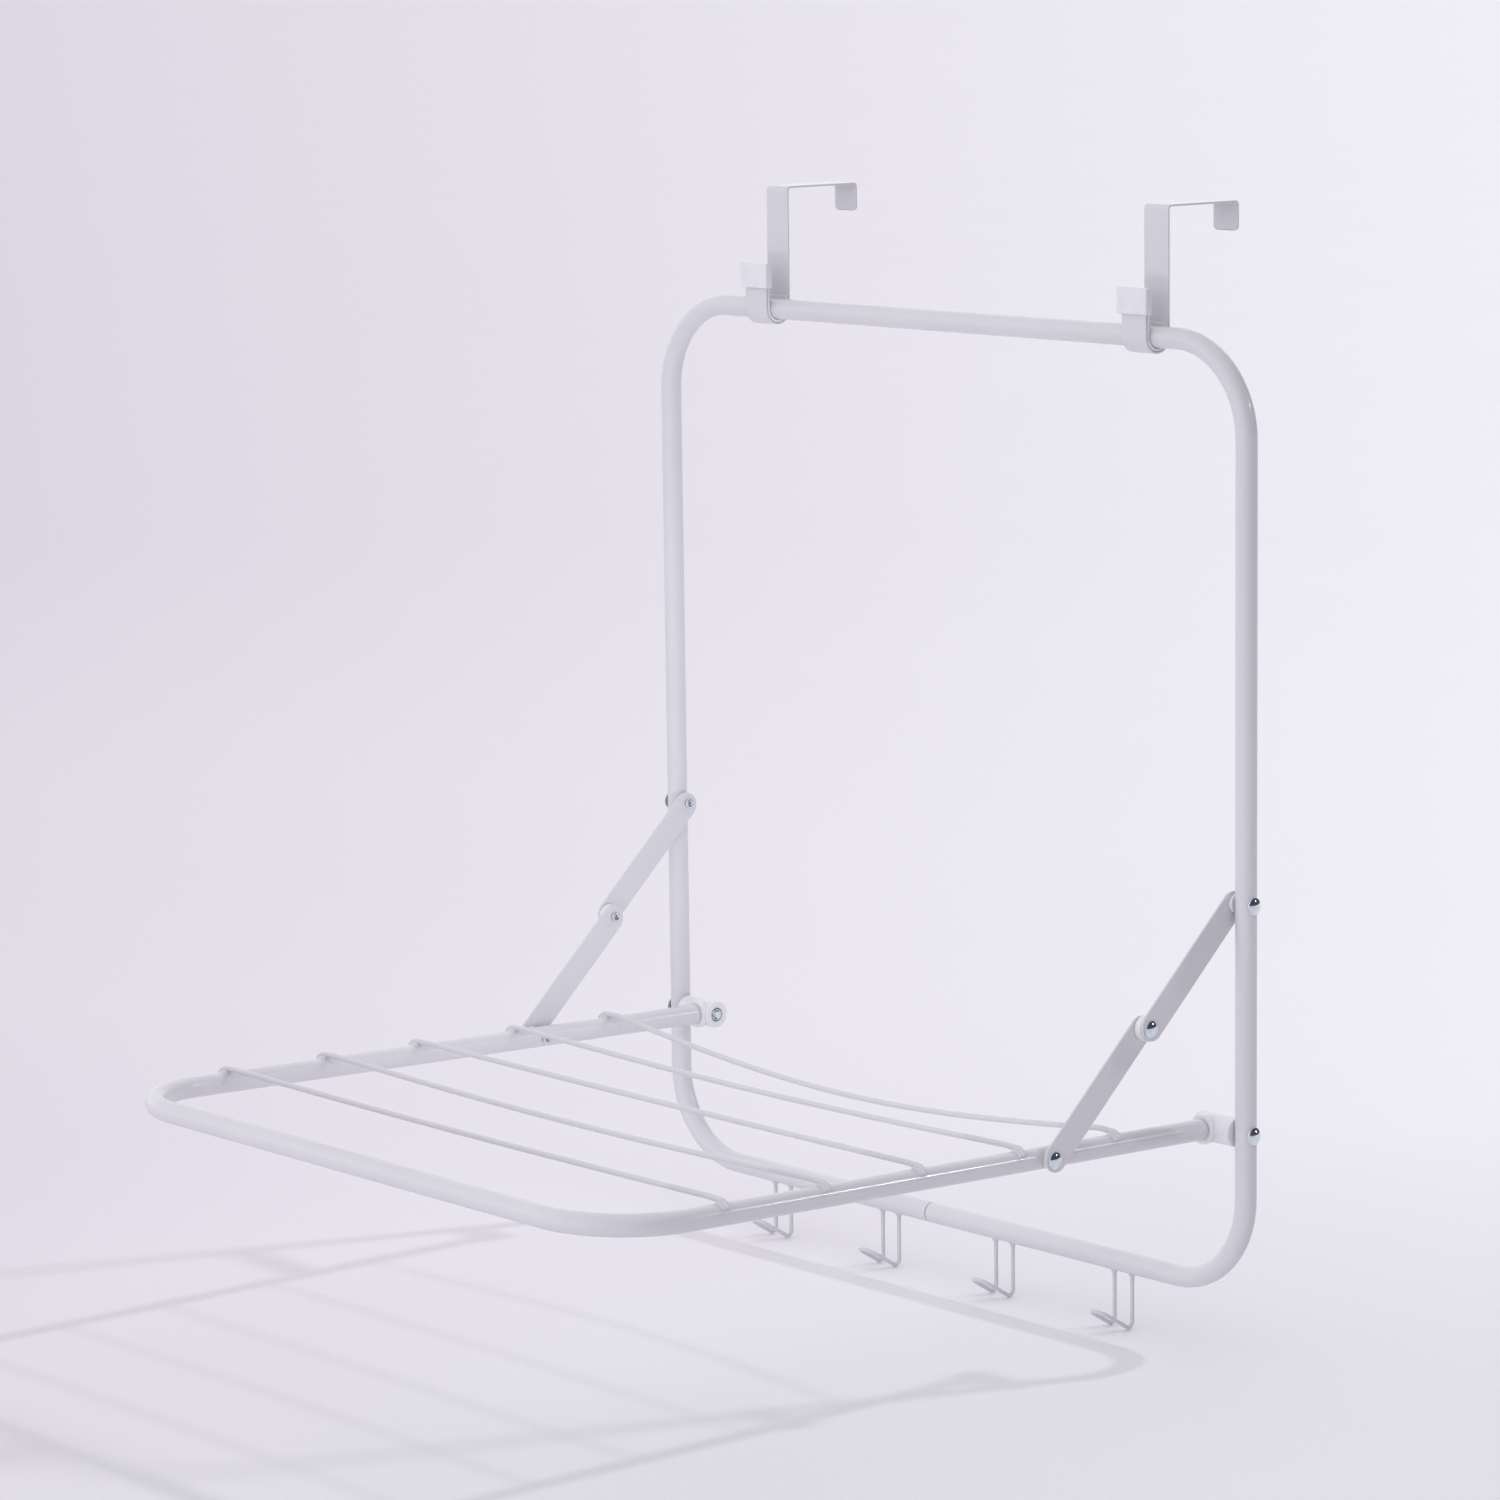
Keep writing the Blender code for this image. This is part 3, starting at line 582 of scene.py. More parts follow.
points, oval = frame_points(26)
build = Build()
pipe(build, points, (0.0, 1.0, 0.0), TUBE_R, TUBE_R - TUBE_WALL, 48, oval)
holes = []
for s in SIDES.values():
    near, far = s * (X_UP_FACE - 0.004), s * (FRAME_HALF_W + TUBE_R + 0.004)
    holes.append(("DIFFERENCE", rod_mesh(near, far, BOLT_HOLE_R, 24, TUBE_Y, HINGE_Z)))
    holes.append(("DIFFERENCE", rod_mesh(near, far, RIVET_HOLE_R, 24, TUBE_Y, HINGE_Z + BRACE_H)))
piece("back_frame_tube", combined(build.mesh("frame"), holes), "paint")

build = Build()
pipe(
    build,
    [(SEAM_X + SLEEVE_LEN * k / 8, TUBE_Y, BOTTOM_Z) for k in range(-4, 5)],
    (0.0, 1.0, 0.0), SLEEVE_R, SLEEVE_R - SLEEVE_WALL, 40,
)
piece("frame_joint_sleeve", build.mesh("sleeve"), "steel")


# ---------------------------------------------------------------- over-door hooks
def strip(build, path, widths, thick, corner, end_round):
    """A flat strip bent along a (y, z) path, with rounded edges and ends."""
    count = len(path)

    def section(i, shift, shrink):
        before, here, after = path[max(i - 1, 0)], path[i], path[min(i + 1, count - 1)]
        run = Vector((after[0] - before[0], after[1] - before[1])).normalized()
        if 0 < i < count - 1:
            one = Vector((here[0] - before[0], here[1] - before[1])).normalized()
            grow = 1.0 / max(run.dot(one), 0.5)
        else:
            grow = 1.0
        side = Vector((-run.y, run.x))
        half_w, half_t = widths[i] / 2 - shrink, (thick / 2) * grow - shrink
        c = min(corner, half_t * 0.98, half_w * 0.98) * (1.0 if shrink == 0 else 0.6)
        out = []
        for cx, ct, start in ((half_w - c, half_t - c, 0), (-half_w + c, half_t - c, 90), (-half_w + c, -half_t + c, 180), (half_w - c, -half_t + c, 270)):
            for k in range(5):
                a = math.radians(start + 90 * k / 4)
                x, t = cx + c * math.cos(a), ct + c * math.sin(a)
                out.append((x, here[0] + side.x * t + run.x * shift, here[1] + side.y * t + run.y * shift))
        return out

    e = end_round
    rings = [build.ring(section(0, 0.0, e)), build.ring(section(0, e * 0.3, e * 0.3)), build.ring(section(0, e, 0.0))]
    rings += [build.ring(section(i, 0.0, 0.0)) for i in range(1, count - 1)]
    rings += [build.ring(section(count - 1, -e, 0.0)), build.ring(section(count - 1, -e * 0.3, e * 0.3)), build.ring(section(count - 1, 0.0, e))]
    build.rows(rings)
    build.cap(rings[0])
    build.cap(rings[-1])


def strap_parts():
    mid = STRAP_T / 2
    back, corner = DOOR_SLOT + mid, STRAP_BEND_R
    low = mid - STRAP_T - LIP_LEN
    path, widths = [], []
    for k in range(9):
        a = math.radians(90 * k / 8)
        path.append((back, low + LIP_CORNER_R * (1 - math.cos(a)) + (0.0 if k else 0.0)))
        widths.append(STRAP_W - 2 * LIP_CORNER_R * (1 - math.sin(a)))
    rest = [(back, low + 0.009)]
    rest += arc(back - corner, mid - corner, corner, 0, 90, 10)
    rest += [(y, mid) for y in spread(back - corner, -mid + corner, 4)]
    rest += arc(-mid + corner, mid - corner, corner, 90, 180, 10)
    rest += [(-mid, z) for z in spread(mid - corner, BAR_Z, 5)]
    rest += arc(TUBE_Y, BAR_Z, STRAP_R0 + mid, 0, -180, 40)
    rest += [(TUBE_Y - STRAP_R0 - mid, BAR_Z + z) for z in (0.008, 0.016, 0.024, LEG_TOP)]
    path += rest
    widths += [STRAP_W] * len(rest)
    return path, widths


def liner_mesh():
    mid = LINER_T / 2
    path = [(TUBE_Y + LINER_R0 + mid, BAR_Z + z) for z in (LINER_REAR_TOP, 0.006, 0.002)]
    path += arc(TUBE_Y, BAR_Z, LINER_R0 + mid, 0, -180, 40)
    path += [(TUBE_Y - LINER_R0 - mid, BAR_Z + z) for z in (0.006, 0.012, CAP_Z0 + 0.004)]
    build = Build()
    strip(build, path, [LINER_W] * len(path), LINER_T, 0.0006, 0.0005)
    return build.mesh("liner")


def block(low, high, radius, segments):
    work = bmesh.new()
    bmesh.ops.create_cube(work, size=1.0)
    for vert in work.verts:
        vert.co = Vector([a + (c + 0.5) * (b - a) for a, b, c in zip(low, high, vert.co)])
    if radius:
        bmesh.ops.bevel(work, geom=work.edges[:], offset=radius, segments=segments, profile=0.5, affect="EDGES")
    made = bpy.data.meshes.new("block")
    work.to_mesh(made)
    work.free()
    return made


for side, x in HOOK_X.items():
    build = Build()
    path, widths = strap_parts()
    strip(build, path, widths, STRAP_T, 0.00038, 0.0003)
    piece("hook_strap_" + side, build.mesh("strap"), "paint", Matrix.Translation((x, 0, 0)), 50, True)

    cap = block(
        (-CAP_W / 2, TUBE_Y - CAP_FRONT, BAR_Z + CAP_Z0),
        (CAP_W / 2, TUBE_Y - LINER_R0 - 0.0001, BAR_Z + CAP_Z1),
        0.0012, 5,
    )
    pocket = block(
        (-STRAP_W / 2 - GAP, TUBE_Y - STRAP_R1 - GAP, BAR_Z + CAP_Z0 - 0.004),
        (STRAP_W / 2 + GAP, TUBE_Y - STRAP_R0 + GAP, BAR_Z + LEG_TOP + GAP),
        0.0, 0,
    )
    clip = combined(liner_mesh(), [("UNION", cap), ("DIFFERENCE", pocket)])
    piece("hook_clip_" + side, clip, "plastic", Matrix.Translation((x, 0, 0)), 40, True)


# ---------------------------------------------------------------- garment hooks
def garment_line():
    rise = GARMENT_RISE
    forward = Vector((0.0, -math.cos(rise), math.sin(rise)))
    low = Vector((0.0, 0.0, GARMENT_CORNER_Z))
    top = Vector((0.0, 0.0, -TUBE_R - GAP * 0.3))
    straight = GARMENT_REACH / math.cos(rise) - GARMENT_HALF
    half = Vector((GARMENT_HALF, 0.0, 0.0))
    end = low + forward * straight
    leg = filleted([top - half, low - half, end - half], GARMENT_BEND_R, 14)
    bow = [
        end - half * math.cos(math.pi * i / 28) + forward * (GARMENT_HALF * math.sin(math.pi * i / 28))
        for i in range(1, 28)
    ]
    back = filleted([end + half, low + half, top + half], GARMENT_BEND_R, 14)
    return leg + bow + back


def leg_weld(build, x, seed):
    """A bead of weld under the bar round one leg, following the bar's round."""
    count, rings = 28, []
    profile = ((0.0034, 0.0), (0.0031, 0.00025), (0.0026, 0.0007), (0.00215, 0.0014), (0.0018, 0.0024), (GARMENT_R - 0.0002, 0.0034))
    for radius, drop in profile:
        ring = []
        for k in range(count):
            a = 2 * math.pi * k / count
            wobble = 1.0 + 0.10 * noise.noise((math.cos(a) * 1.7 + seed, math.sin(a) * 1.7, seed * 0.37)) * (radius / 0.0034)
            px, py = radius * wobble * math.cos(a), radius * wobble * math.sin(a)
            surface = -math.sqrt(max(TUBE_R**2 - py * py, 0.0))
            ring.append((x + px, py, surface - drop + (0.0003 if drop == 0.0 else 0.0)))
        rings.append(build.ring(ring))
    build.rows(rings)
    top = [(build.verts[i][0] * 1.0, build.verts[i][1], build.verts[i][2] + 0.0006) for i in rings[0]]
    lid = build.ring(top)
    build.bridge(lid, rings[0])
    build.cap(lid)
    build.cap(rings[-1])


for number, x in enumerate(GARMENT_X, 1):
    build = Build()
    wire(build, garment_line(), (1.0, 0.0, 0.0), GARMENT_R, 20)
    for s in (-1.0, 1.0):
        leg_weld(build, s * GARMENT_HALF, number * 2.3 + s)
    piece(f"garment_hook_{number}", build.mesh("hook"), "wire", Matrix.Translation((x, TUBE_Y, BOTTOM_Z)), 60)


# ---------------------------------------------------------------- fasteners
def dome(radius, height, rim, steps=16):
    """A domed head from its top centre to its flat base."""
    rise = height - rim
    ball = (radius * radius + rise * rise) / (2 * rise)
    out = [(0.0, height)]
    for i in range(1, steps + 1):
        r = (radius - 0.00012) * i / steps
        out.append((r, height - ball + math.sqrt(ball * ball - r * r)))
    out += [(radius - 0.00003, rim - 0.00008), (radius, rim - 0.0002), (radius, 0.00012), (radius - 0.00012, 0.0)]
    return out


def rolled_tail(long, thick, shank, radius):
    """A tubular rivet's end, rolled outwards over the last plate."""
    base = -long + thick
    out = [(shank, base), (radius - 0.0007, base)]
    roll = (radius - 0.0016) / 2
    for k in range(11):
        a = math.radians(-60 + 210 * k / 10) if False else math.radians(90 - 200 * k / 10)
        out.append((radius - 0.00115 + 0.00115 * math.cos(a), -long + thick * 0.5 + thick * 0.5 * math.sin(a)))
    inner = radius - 0.0023
    out += [(inner, -long + thick * 0.30), (inner - 0.00015, -long + thick * 0.7), (inner - 0.0003, -long + thick * 1.2), (0.0, -long + thick * 1.35)]
    return out


def pin(build, head_x, tip_x, sign, shank, head_r, head_h, y=0.0, tail=None, thread=0.0):
    long = abs(head_x - tip_x)
    profile = dome(head_r, head_h, head_h * 0.13) + [(shank, 0.0)]
    place = lying(sign * head_x, sign, y)
    ripple = None
    if tail:
        profile += rolled_tail(long, tail[1], shank, tail[0])
    else:
        pitch, depth = 0.0009, 0.00028
        first = long - thread
        profile += [(shank, -first * 0.5), (shank, -first)]
        count = int(thread / pitch * 8)
        for i in range(1, count):
            profile.append((shank, -first - (thread - 0.0005) * i / count))
        profile += [(shank - 0.00005, -long + 0.0005), (shank - 0.0005, -long), (shank - 0.0014, -long), (0.0, -long)]

        def ripple(r, h, a):
            if r != shank or -h < first or -h > long - 0.0005:
                return 0.0
            turn = (-h / pitch - a / (2 * math.pi)) % 1.0
            return -depth * (1 - abs(2 * turn - 1))

    lathe(build, profile, 40, place, ripple=ripple)


def disc(build, x0, x1, outer, inner, edge, y=0.0, steps=48):
    """A flat ring with rounded rims."""
    low, high = min(x0, x1), max(x0, x1)
    tall = high - low
    e = min(edge, tall * 0.45)
    profile = []
    for cr, ch, start in ((outer - e, tall - e, 90), (outer - e, e, 0)):
        for k in range(6):
            a = math.radians(start - 90 * k / 5)
            profile.append((cr + e * math.cos(a), ch + e * math.sin(a)))
    i = e * 0.5
    profile += [(inner + i, 0.0), (inner, i), (inner, tall - i), (inner + i, tall)]
    lathe(build, profile, steps, lying(low, 1.0, y), closed=True)


def nut(build, x0, x1, across, bore):
    """A hexagon nut with chamfered corners and a threaded bore."""
    low, high = min(x0, x1), max(x0, x1)
    tall = high - low
    place = lying(low, 1.0)
    corner = across / 2 / math.cos(math.radians(30))
    steps = 72

    def ring(height, limit):
        points = []
        for k in range(steps):
            a = 2 * math.pi * k / steps
            inside = (a % math.radians(60)) - math.radians(30)
            hexed = min(across / 2 / math.cos(inside), corner * 0.985)
            points.append(place @ Vector((min(hexed, limit) * math.cos(a), min(hexed, limit) * math.sin(a), height)))
        return build.ring(points)

    rings = []
    shape = [(0.0, 0.93), (0.0, 0.965), (0.00018, 1.0), (0.00035, 1.045), (0.0006, 1.10), (0.0009, 1.2)]
    for height, share in shape:
        rings.append(ring(height, across / 2 * share))
    for height, share in shape[::-1]:
        rings.append(ring(tall - height, across / 2 * share))
    pitch = 0.0009
    inner = [(bore + 0.0005, tall), (bore, tall - 0.0004)]
    count = 28
    inner += [(bore, tall - 0.0004 - (tall - 0.0008) * i / count) for i in range(1, count)]
    inner += [(bore, 0.0004), (bore + 0.0005, 0.0)]
    for radius, height in inner:
        points = []
        for k in range(steps):
            a = 2 * math.pi * k / steps
            turn = ((height / pitch) - a / (2 * math.pi)) % 1.0
            cut = 0.00018 * (1 - abs(2 * turn - 1)) if radius == bore else 0.0
            points.append(place @ Vector(((radius + cut) * math.cos(a), (radius + cut) * math.sin(a), height)))
        rings.append(build.ring(points))
    build.rows(rings, closed=True)
    for i in range(len(build.verts)):
        build.turn[i] = 0.004


def link_plate(build, length, x0, x1):
    """A stamped bar along -Y from its outer eye, with the same rounded edge on both faces."""
    low, high = min(x0, x1), max(x0, x1)
    r = LINK_W / 2
    tall = high - low
    e = 0.0005

    def outline(inset, x):
        out = [(x, -LINK_TUCK + (r - inset) * math.cos(math.radians(t)), (r - inset) * math.sin(math.radians(t))) for t in range(-90, 91, 6)]
        out += [(x, LINK_TUCK - length + (r - inset) * math.cos(math.radians(t)), (r - inset) * math.sin(math.radians(t))) for t in range(90, 271, 6)]
        return out

    def eye(centre, grow, x):
        return [
            (x, centre + (RIVET_HOLE_R + grow) * math.cos(2 * math.pi * k / 32), (RIVET_HOLE_R + grow) * math.sin(2 * math.pi * k / 32))
            for k in range(32)
        ]

    steps = [(0.0, e + 0.0003), (0.0, e)]
    for k in range(1, 6):
        a = math.radians(90 * k / 5)
        steps.append((e * (1 - math.cos(a)), e * (1 - math.sin(a))))
    side = [(depth, inset) for depth, inset in steps]
    full = [(low + d, i) for d, i in side] + [(high - d, i) for d, i in side[::-1]]
    rims = []
    rings = [build.ring(outline(i, x)) for x, i in full]
    build.rows(rings)
    rims.append((rings[0], rings[-1]))
    for centre in (0.0, -length):
        rings = [build.ring(eye(centre, i * 0.4, x)) for x, i in full]
        build.rows(rings)
        rims.append((rings[0], rings[-1]))
    return rims


def link_mesh(length, x0, x1):
    build = Build()
    rims = link_plate(build, length, x0, x1)
    work = bmesh.new()
    verts = [work.verts.new(v) for v in build.verts]
    for face in build.faces:
        work.faces.new([verts[i] for i in face])
    for which in (0, 1):
        edges = []
        for rim in rims:
            ring = rim[which]
            for i in range(len(ring)):
                edges.append(work.edges.get((verts[ring[i]], verts[ring[(i + 1) % len(ring)]])))
        bmesh.ops.triangle_fill(work, use_beauty=True, use_dissolve=False, edges=edges)
    made = bpy.data.meshes.new("link")
    work.to_mesh(made)
    work.free()
    return tidy(made)


def end_joint(s):
    x0, x1 = s * BARREL_X0, s * (X_UP_FACE - GAP)
    low, high = min(x0, x1), max(x0, x1)
    tall = high - low
    steps = 72
    seam = tall * (0.52 if s > 0 else 0.48)
    build = Build()
    body = [(0.0, tall), (BARREL_R, tall), (BARREL_R, 0.0), (0.0, 0.0)]
    profile = rounded(body, 0.0012, 6)
    fine = []
    for one, two in zip(profile, profile[1:]):
        fine.append(one)
        if one[1] > seam > two[1] and abs(one[0] - two[0]) < 1e-6:
            r = BARREL_R
            fine += [(r, seam + 0.0004), (r + 0.00010, seam + 0.00012), (r + 0.00010, seam - 0.00012), (r, seam - 0.0004)]
    fine.append(profile[-1])
    lathe(build, fine, steps, lying(low, 1.0))
    barrel = build.mesh("barrel")
    build = Build()
    turn = Matrix.Translation((s * ARM_X, 0.0, 0.0)) @ Matrix.Rotation(math.radians(90), 4, "X")
    stem = [
        (0.0, PLUG_END), (PLUG_R, PLUG_END), (PLUG_R, COLLAR_Y1), (COLLAR_R, COLLAR_Y1),
        (COLLAR_R, COLLAR_Y0), (COLLAR_R - 0.0009, COLLAR_Y0 - 0.0004), (COLLAR_R - 0.0009, -0.0008), (0.0, -0.0008),
    ]
    lathe(build, rounded(stem, 0.0008, 4), steps, turn)
    stem = build.mesh("stem")
    bore = rod_mesh(x0 - s * 0.004, x1 + s * 0.004, BOLT_HOLE_R, 32)
    build = Build()
    deep = RECESS_D
    lathe(
        build,
        [(0.0, 0.004), (RECESS_R + 0.0008, 0.004), (RECESS_R + 0.0006, 0.0), (RECESS_R + 0.00018, -0.00018), (RECESS_R, -0.0005), (RECESS_R - 0.0001, -deep), (0.0, -deep)],
        56, lying(x0, -s),
    )
    recess = build.mesh("recess")
    return combined(barrel, [("UNION", stem), ("DIFFERENCE", bore), ("DIFFERENCE", recess)])


# ---------------------------------------------------------------- shelf
def shelf_points(steps):
    x, r, d = ARM_X, BEND_R, SHELF_D
    marks = [ARM_START + 0.002, 0.040, 0.075, 0.115, BRACE_D - 0.012, BRACE_D + 0.012] + spread(BRACE_D + 0.012, d - r, 6)
    path = [(-x, -ARM_START)] + [(-x, -m) for m in marks]
    first = len(path)
    path += arc(-x + r, -(d - r), r, 180, 270, steps)
    path += [(px, -d) for px in spread(-x + r, x - r, 6)]
    second = len(path)
    path += arc(x - r, -(d - r), r, 270, 360, steps)
    path += [(x, -m) for m in marks[::-1]] + [(x, -ARM_START)]
    oval = [0.0] * len(path)
    for start in (first, second):
        for i in range(steps + 1):
            oval[start + i] = 0.018 * max(math.sin(math.pi * i / steps), 0.0) ** 0.5
    return [(px, py, 0.0) for px, py in path], oval


points, oval = shelf_points(26)
build = Build()
pipe(build, points, (0.0, 0.0, 1.0), TUBE_R, TUBE_R - TUBE_WALL, 48, oval)
cuts = [
    ("DIFFERENCE", rod_mesh(s * (ARM_X - 0.012), s * (ARM_X + 0.012), RIVET_HOLE_R, 24, -BRACE_D, 0.0))
    for s in SIDES.values()
]
piece("shelf_frame_tube", combined(build.mesh("shelf"), cuts), "paint", AT_SHELF)


def wire_line(y, dip):
    wrap = TUBE_R + GAP + WIRE_R

    def end(s):
        out = []
        stop = 94.0
        for k in range(15):
            a = math.radians(WIRE_WRAP + (stop - WIRE_WRAP) * k / 14)
            out.append((s * (ARM_X + wrap * math.cos(a)), -y, wrap * math.sin(a)))
        for d, h in ((0.0030, 0.01050), (0.0055, 0.01063), (0.0085, 0.01077)):
            out.append((s * (ARM_X - d), -y, h))
        return out

    span = ARM_X - 0.012
    run = []
    for i in range(25):
        t = -1 + 2 * i / 24
        run.append((t * span, -y, WIRE_H - dip * math.cos(math.pi * t / 2)))
    return end(-1.0) + run + end(1.0)[::-1]


def saddle_weld(build, s, y, seed):
    """The weld between wire and arm: a fillet on both flanks of the wire, lying on the tube."""
    across, along = 22, 20
    lo_a, hi_a = 30.0, 116.0
    reach = 0.0041
    tops, floors = [], []
    for i in range(along + 1):
        t = i / along
        degrees = lo_a + (hi_a - lo_a) * t
        a = math.radians(degrees)
        fade = min(1.0, t / 0.16, (1 - t) / 0.26)
        fade = fade * fade * (3 - 2 * fade)
        ring, base = [], []
        for j in range(across + 1):
            u = -1 + 2 * j / across
            wobble = 1.0 + 0.16 * noise.noise((u * 1.5 + seed, t * 3.0, seed * 0.7))
            d = abs(u) * reach
            if d < WIRE_R * 0.85:
                lift = 0.0025
            else:
                lift = 0.0025 * ((reach - d) / (reach - WIRE_R * 0.85)) ** 1.9
            lift = lift * fade * wobble - 0.00012
            r = TUBE_R + lift
            ring.append((s * (ARM_X + r * math.cos(a)), -y + u * reach, r * math.sin(a)))
            r = TUBE_R - 0.0005
            base.append((s * (ARM_X + r * math.cos(a)), -y + u * reach, r * math.sin(a)))
        tops.append(build.ring(ring))
        floors.append(build.ring(base))
    for grid, flip in ((tops, False), (floors, True)):
        for one, two in zip(grid, grid[1:]):
            for j in range(across):
                build.faces.append((one[j], one[j + 1], two[j + 1], two[j]))
    for edge_t, edge_f in ((tops[0], floors[0]), (tops[-1], floors[-1])):
        for j in range(across):
            build.faces.append((edge_t[j], edge_t[j + 1], edge_f[j + 1], edge_f[j]))
    for i in range(along):
        for j in (0, across):
            build.faces.append((tops[i][j], tops[i + 1][j], floors[i + 1][j], floors[i][j]))


for number, (y, dip) in enumerate(zip(WIRE_Y, WIRE_DIP), 1):
    build = Build()
    wire(build, wire_line(y, dip), (0.0, 1.0, 0.0), WIRE_R, 20, 0.0007)
    for s in (-1.0, 1.0):
        saddle_weld(build, s, y, number * 3.1 + s)
    piece(f"drying_wire_{number}", build.mesh("wire"), "wire", AT_SHELF, 60)


# ---------------------------------------------------------------- hinges and braces
for side, s in SIDES.items():
    piece(f"end_joint_{side}", end_joint(s), "plastic", AT_SHELF, 35, True)

    build = Build()
    pin(build, FRAME_HALF_W + TUBE_R + GAP, 0.2732, s, BOLT_R, HEAD_R + 0.0002, BOLT_HEAD_H, thread=0.009)
    piece(f"hinge_bolt_{side}", build.mesh("bolt"), "zinc", turned_to(HINGE))

    build = Build()
    nut_x = BARREL_X0 + RECESS_D - GAP
    nut(build, s * nut_x, s * (nut_x - NUT_T), NUT_AF, BOLT_HOLE_R)
    piece(f"hinge_nut_{side}", build.mesh("nut"), "zinc", turned_to(HINGE), 30)

    build = Build()
    disc(build, s * X_TOPWASH0, s * X_TOPWASH1, WASHER_R, RIVET_HOLE_R, 0.0005)
    piece(f"brace_top_washer_{side}", build.mesh("washer"), "plastic", AT_TOP)

    build = Build()
    pin(build, FRAME_HALF_W + TUBE_R + GAP, X_SPACER0 - TAIL_LEN, s, RIVET_R, HEAD_R, HEAD_H, tail=(TAIL_R, TAIL_LEN))
    piece(f"brace_top_rivet_{side}", build.mesh("rivet"), "zinc", AT_TOP)

    piece(f"brace_upper_link_{side}", link_mesh(LINK_1, s * X_ULINK0, s * X_ULINK1), "paint", AT_UPPER, 50, True)

    build = Build()
    pin(build, X_ULINK0 + GAP, X_SPACER1, s, RIVET_R, HEAD_R, HEAD_H, y=-LINK_1, tail=None)
    piece(f"brace_mid_rivet_{side}", build.mesh("rivet"), "zinc", AT_UPPER)

    build = Build()
    disc(build, s * X_SPACER0, s * X_SPACER1, SPACER_R, RIVET_HOLE_R, 0.0006, y=-LINK_1, steps=64)
    piece(f"brace_mid_spacer_{side}", build.mesh("spacer"), "plastic", AT_UPPER)

    piece(f"brace_lower_link_{side}", link_mesh(LINK_2, s * X_LLINK0, s * X_LLINK1), "paint", AT_LOWER, 50, True)

    build = Build()
    long = LINK_T + GAP + 0.0024
    profile = [(0.0, 0.0), (RIVET_R, 0.0)] + rolled_tail(long, 0.0024, RIVET_R, TAIL_R)
    lathe(build, profile, 40, lying(s * X_LLINK0, s, -LINK_2))
    piece(f"brace_mid_rivet_tail_{side}", build.mesh("tail"), "zinc", AT_LOWER)

    build = Build()
    disc(build, s * X_BOTWASH0, s * X_BOTWASH1, WASHER_R, RIVET_HOLE_R, 0.0005)
    piece(f"brace_bottom_washer_{side}", build.mesh("washer"), "plastic", AT_BOTTOM)

    build = Build()
    pin(build, X_LLINK0 + GAP, ARM_X - TUBE_R - GAP - TAIL_LEN, s, RIVET_R, HEAD_R, HEAD_H, tail=(TAIL_R, TAIL_LEN))
    piece(f"brace_bottom_rivet_{side}", build.mesh("rivet"), "zinc", AT_BOTTOM)


# ---------------------------------------------------------------- studio
def floor_look():
    """A pale matt floor with painted light and shade: its tone drifts gently from the left to the right of the set."""
    look = Look("studio_floor")
    where = look.add("ShaderNodeTexCoord").outputs["Object"]
    parts = look.add("ShaderNodeSeparateXYZ")
    look.link(where, parts.inputs[0])
    x = look.maths("ADD", parts.outputs[0], -3.01881)
    y = look.maths("ADD", parts.outputs[1], 2.78524)
    run = look.maths("ADD", look.maths("MULTIPLY", x, 0.6494), look.maths("MULTIPLY", y, 0.7604))
    deep = look.maths("ADD", look.maths("MULTIPLY", x, -0.7604), look.maths("MULTIPLY", y, 0.6494))
    fan = look.maths("DIVIDE", run, look.maths("MAXIMUM", look.maths("ABSOLUTE", deep, 0.0), 0.5))
    cloud = look.noise(where, 1.3, 3.0, 0.5)
    far = look.mix(look.span(fan, -0.15, 0.14, 0.0, 1.0), FLOOR_LEFT, FLOOR_RIGHT)
    # painted light: far off, the floor's tone is lifted towards white
    lift = look.maths("MULTIPLY", look.span(deep, 9.0, 6.5, 0.0, 0.16), look.span(deep, 4.4, 5.2, 0.0, 1.0))
    far = look.mix(lift, far, (1.0, 0.99, 1.0))
    # painted light and shade: separate tones near the camera, blended out to the near corners
    middle = look.maths("ABSOLUTE", look.maths("ADD", fan, -0.010), 0.0)
    corner = look.mix(look.span(fan, -0.10, 0.10, 0.0, 1.0), FLOOR_CORNER_LEFT, FLOOR_CORNER_RIGHT)
    close = look.mix(look.span(middle, 0.035, 0.120, 0.0, 1.0), FLOOR_NEAR, corner)
    tone = look.mix(look.span(deep, 4.6, 3.5, 0.0, 1.0), far, close)
    tone = look.mix(look.span(cloud, 0.3, 0.7, 0.0, 0.05), tone, (0.72, 0.71, 0.78))
    look.link(tone, look.shader.inputs["Base Color"])
    grain = look.noise(where, 700.0, 2.0, 0.5)
    look.link(look.bump(grain, 0.05, 0.0002), look.shader.inputs["Normal"])
    look.set(Roughness=0.75, Specular_IOR_Level=0.10)
    return look.made


# floor tones stand in for the studio's uneven light: painted light and shade, brightest to the right
FLOOR_LEFT, FLOOR_RIGHT, FLOOR_NEAR = (0.740, 0.700, 0.765), (0.925, 0.920, 0.950), (0.762, 0.756, 0.797)
FLOOR_CORNER_LEFT, FLOOR_CORNER_RIGHT = (0.780, 0.766, 0.803), (0.770, 0.760, 0.795)
mesh = bpy.data.meshes.new("studio_floor")
mesh.from_pydata([(-60, -60, FLOOR_Z), (60, -60, FLOOR_Z), (60, 60, FLOOR_Z), (-60, 60, FLOOR_Z)], [], [(0, 1, 2, 3)])
mesh.materials.append(floor_look())
ground = bpy.data.objects.new("studio_floor", mesh)
bpy.context.scene.collection.objects.link(ground)

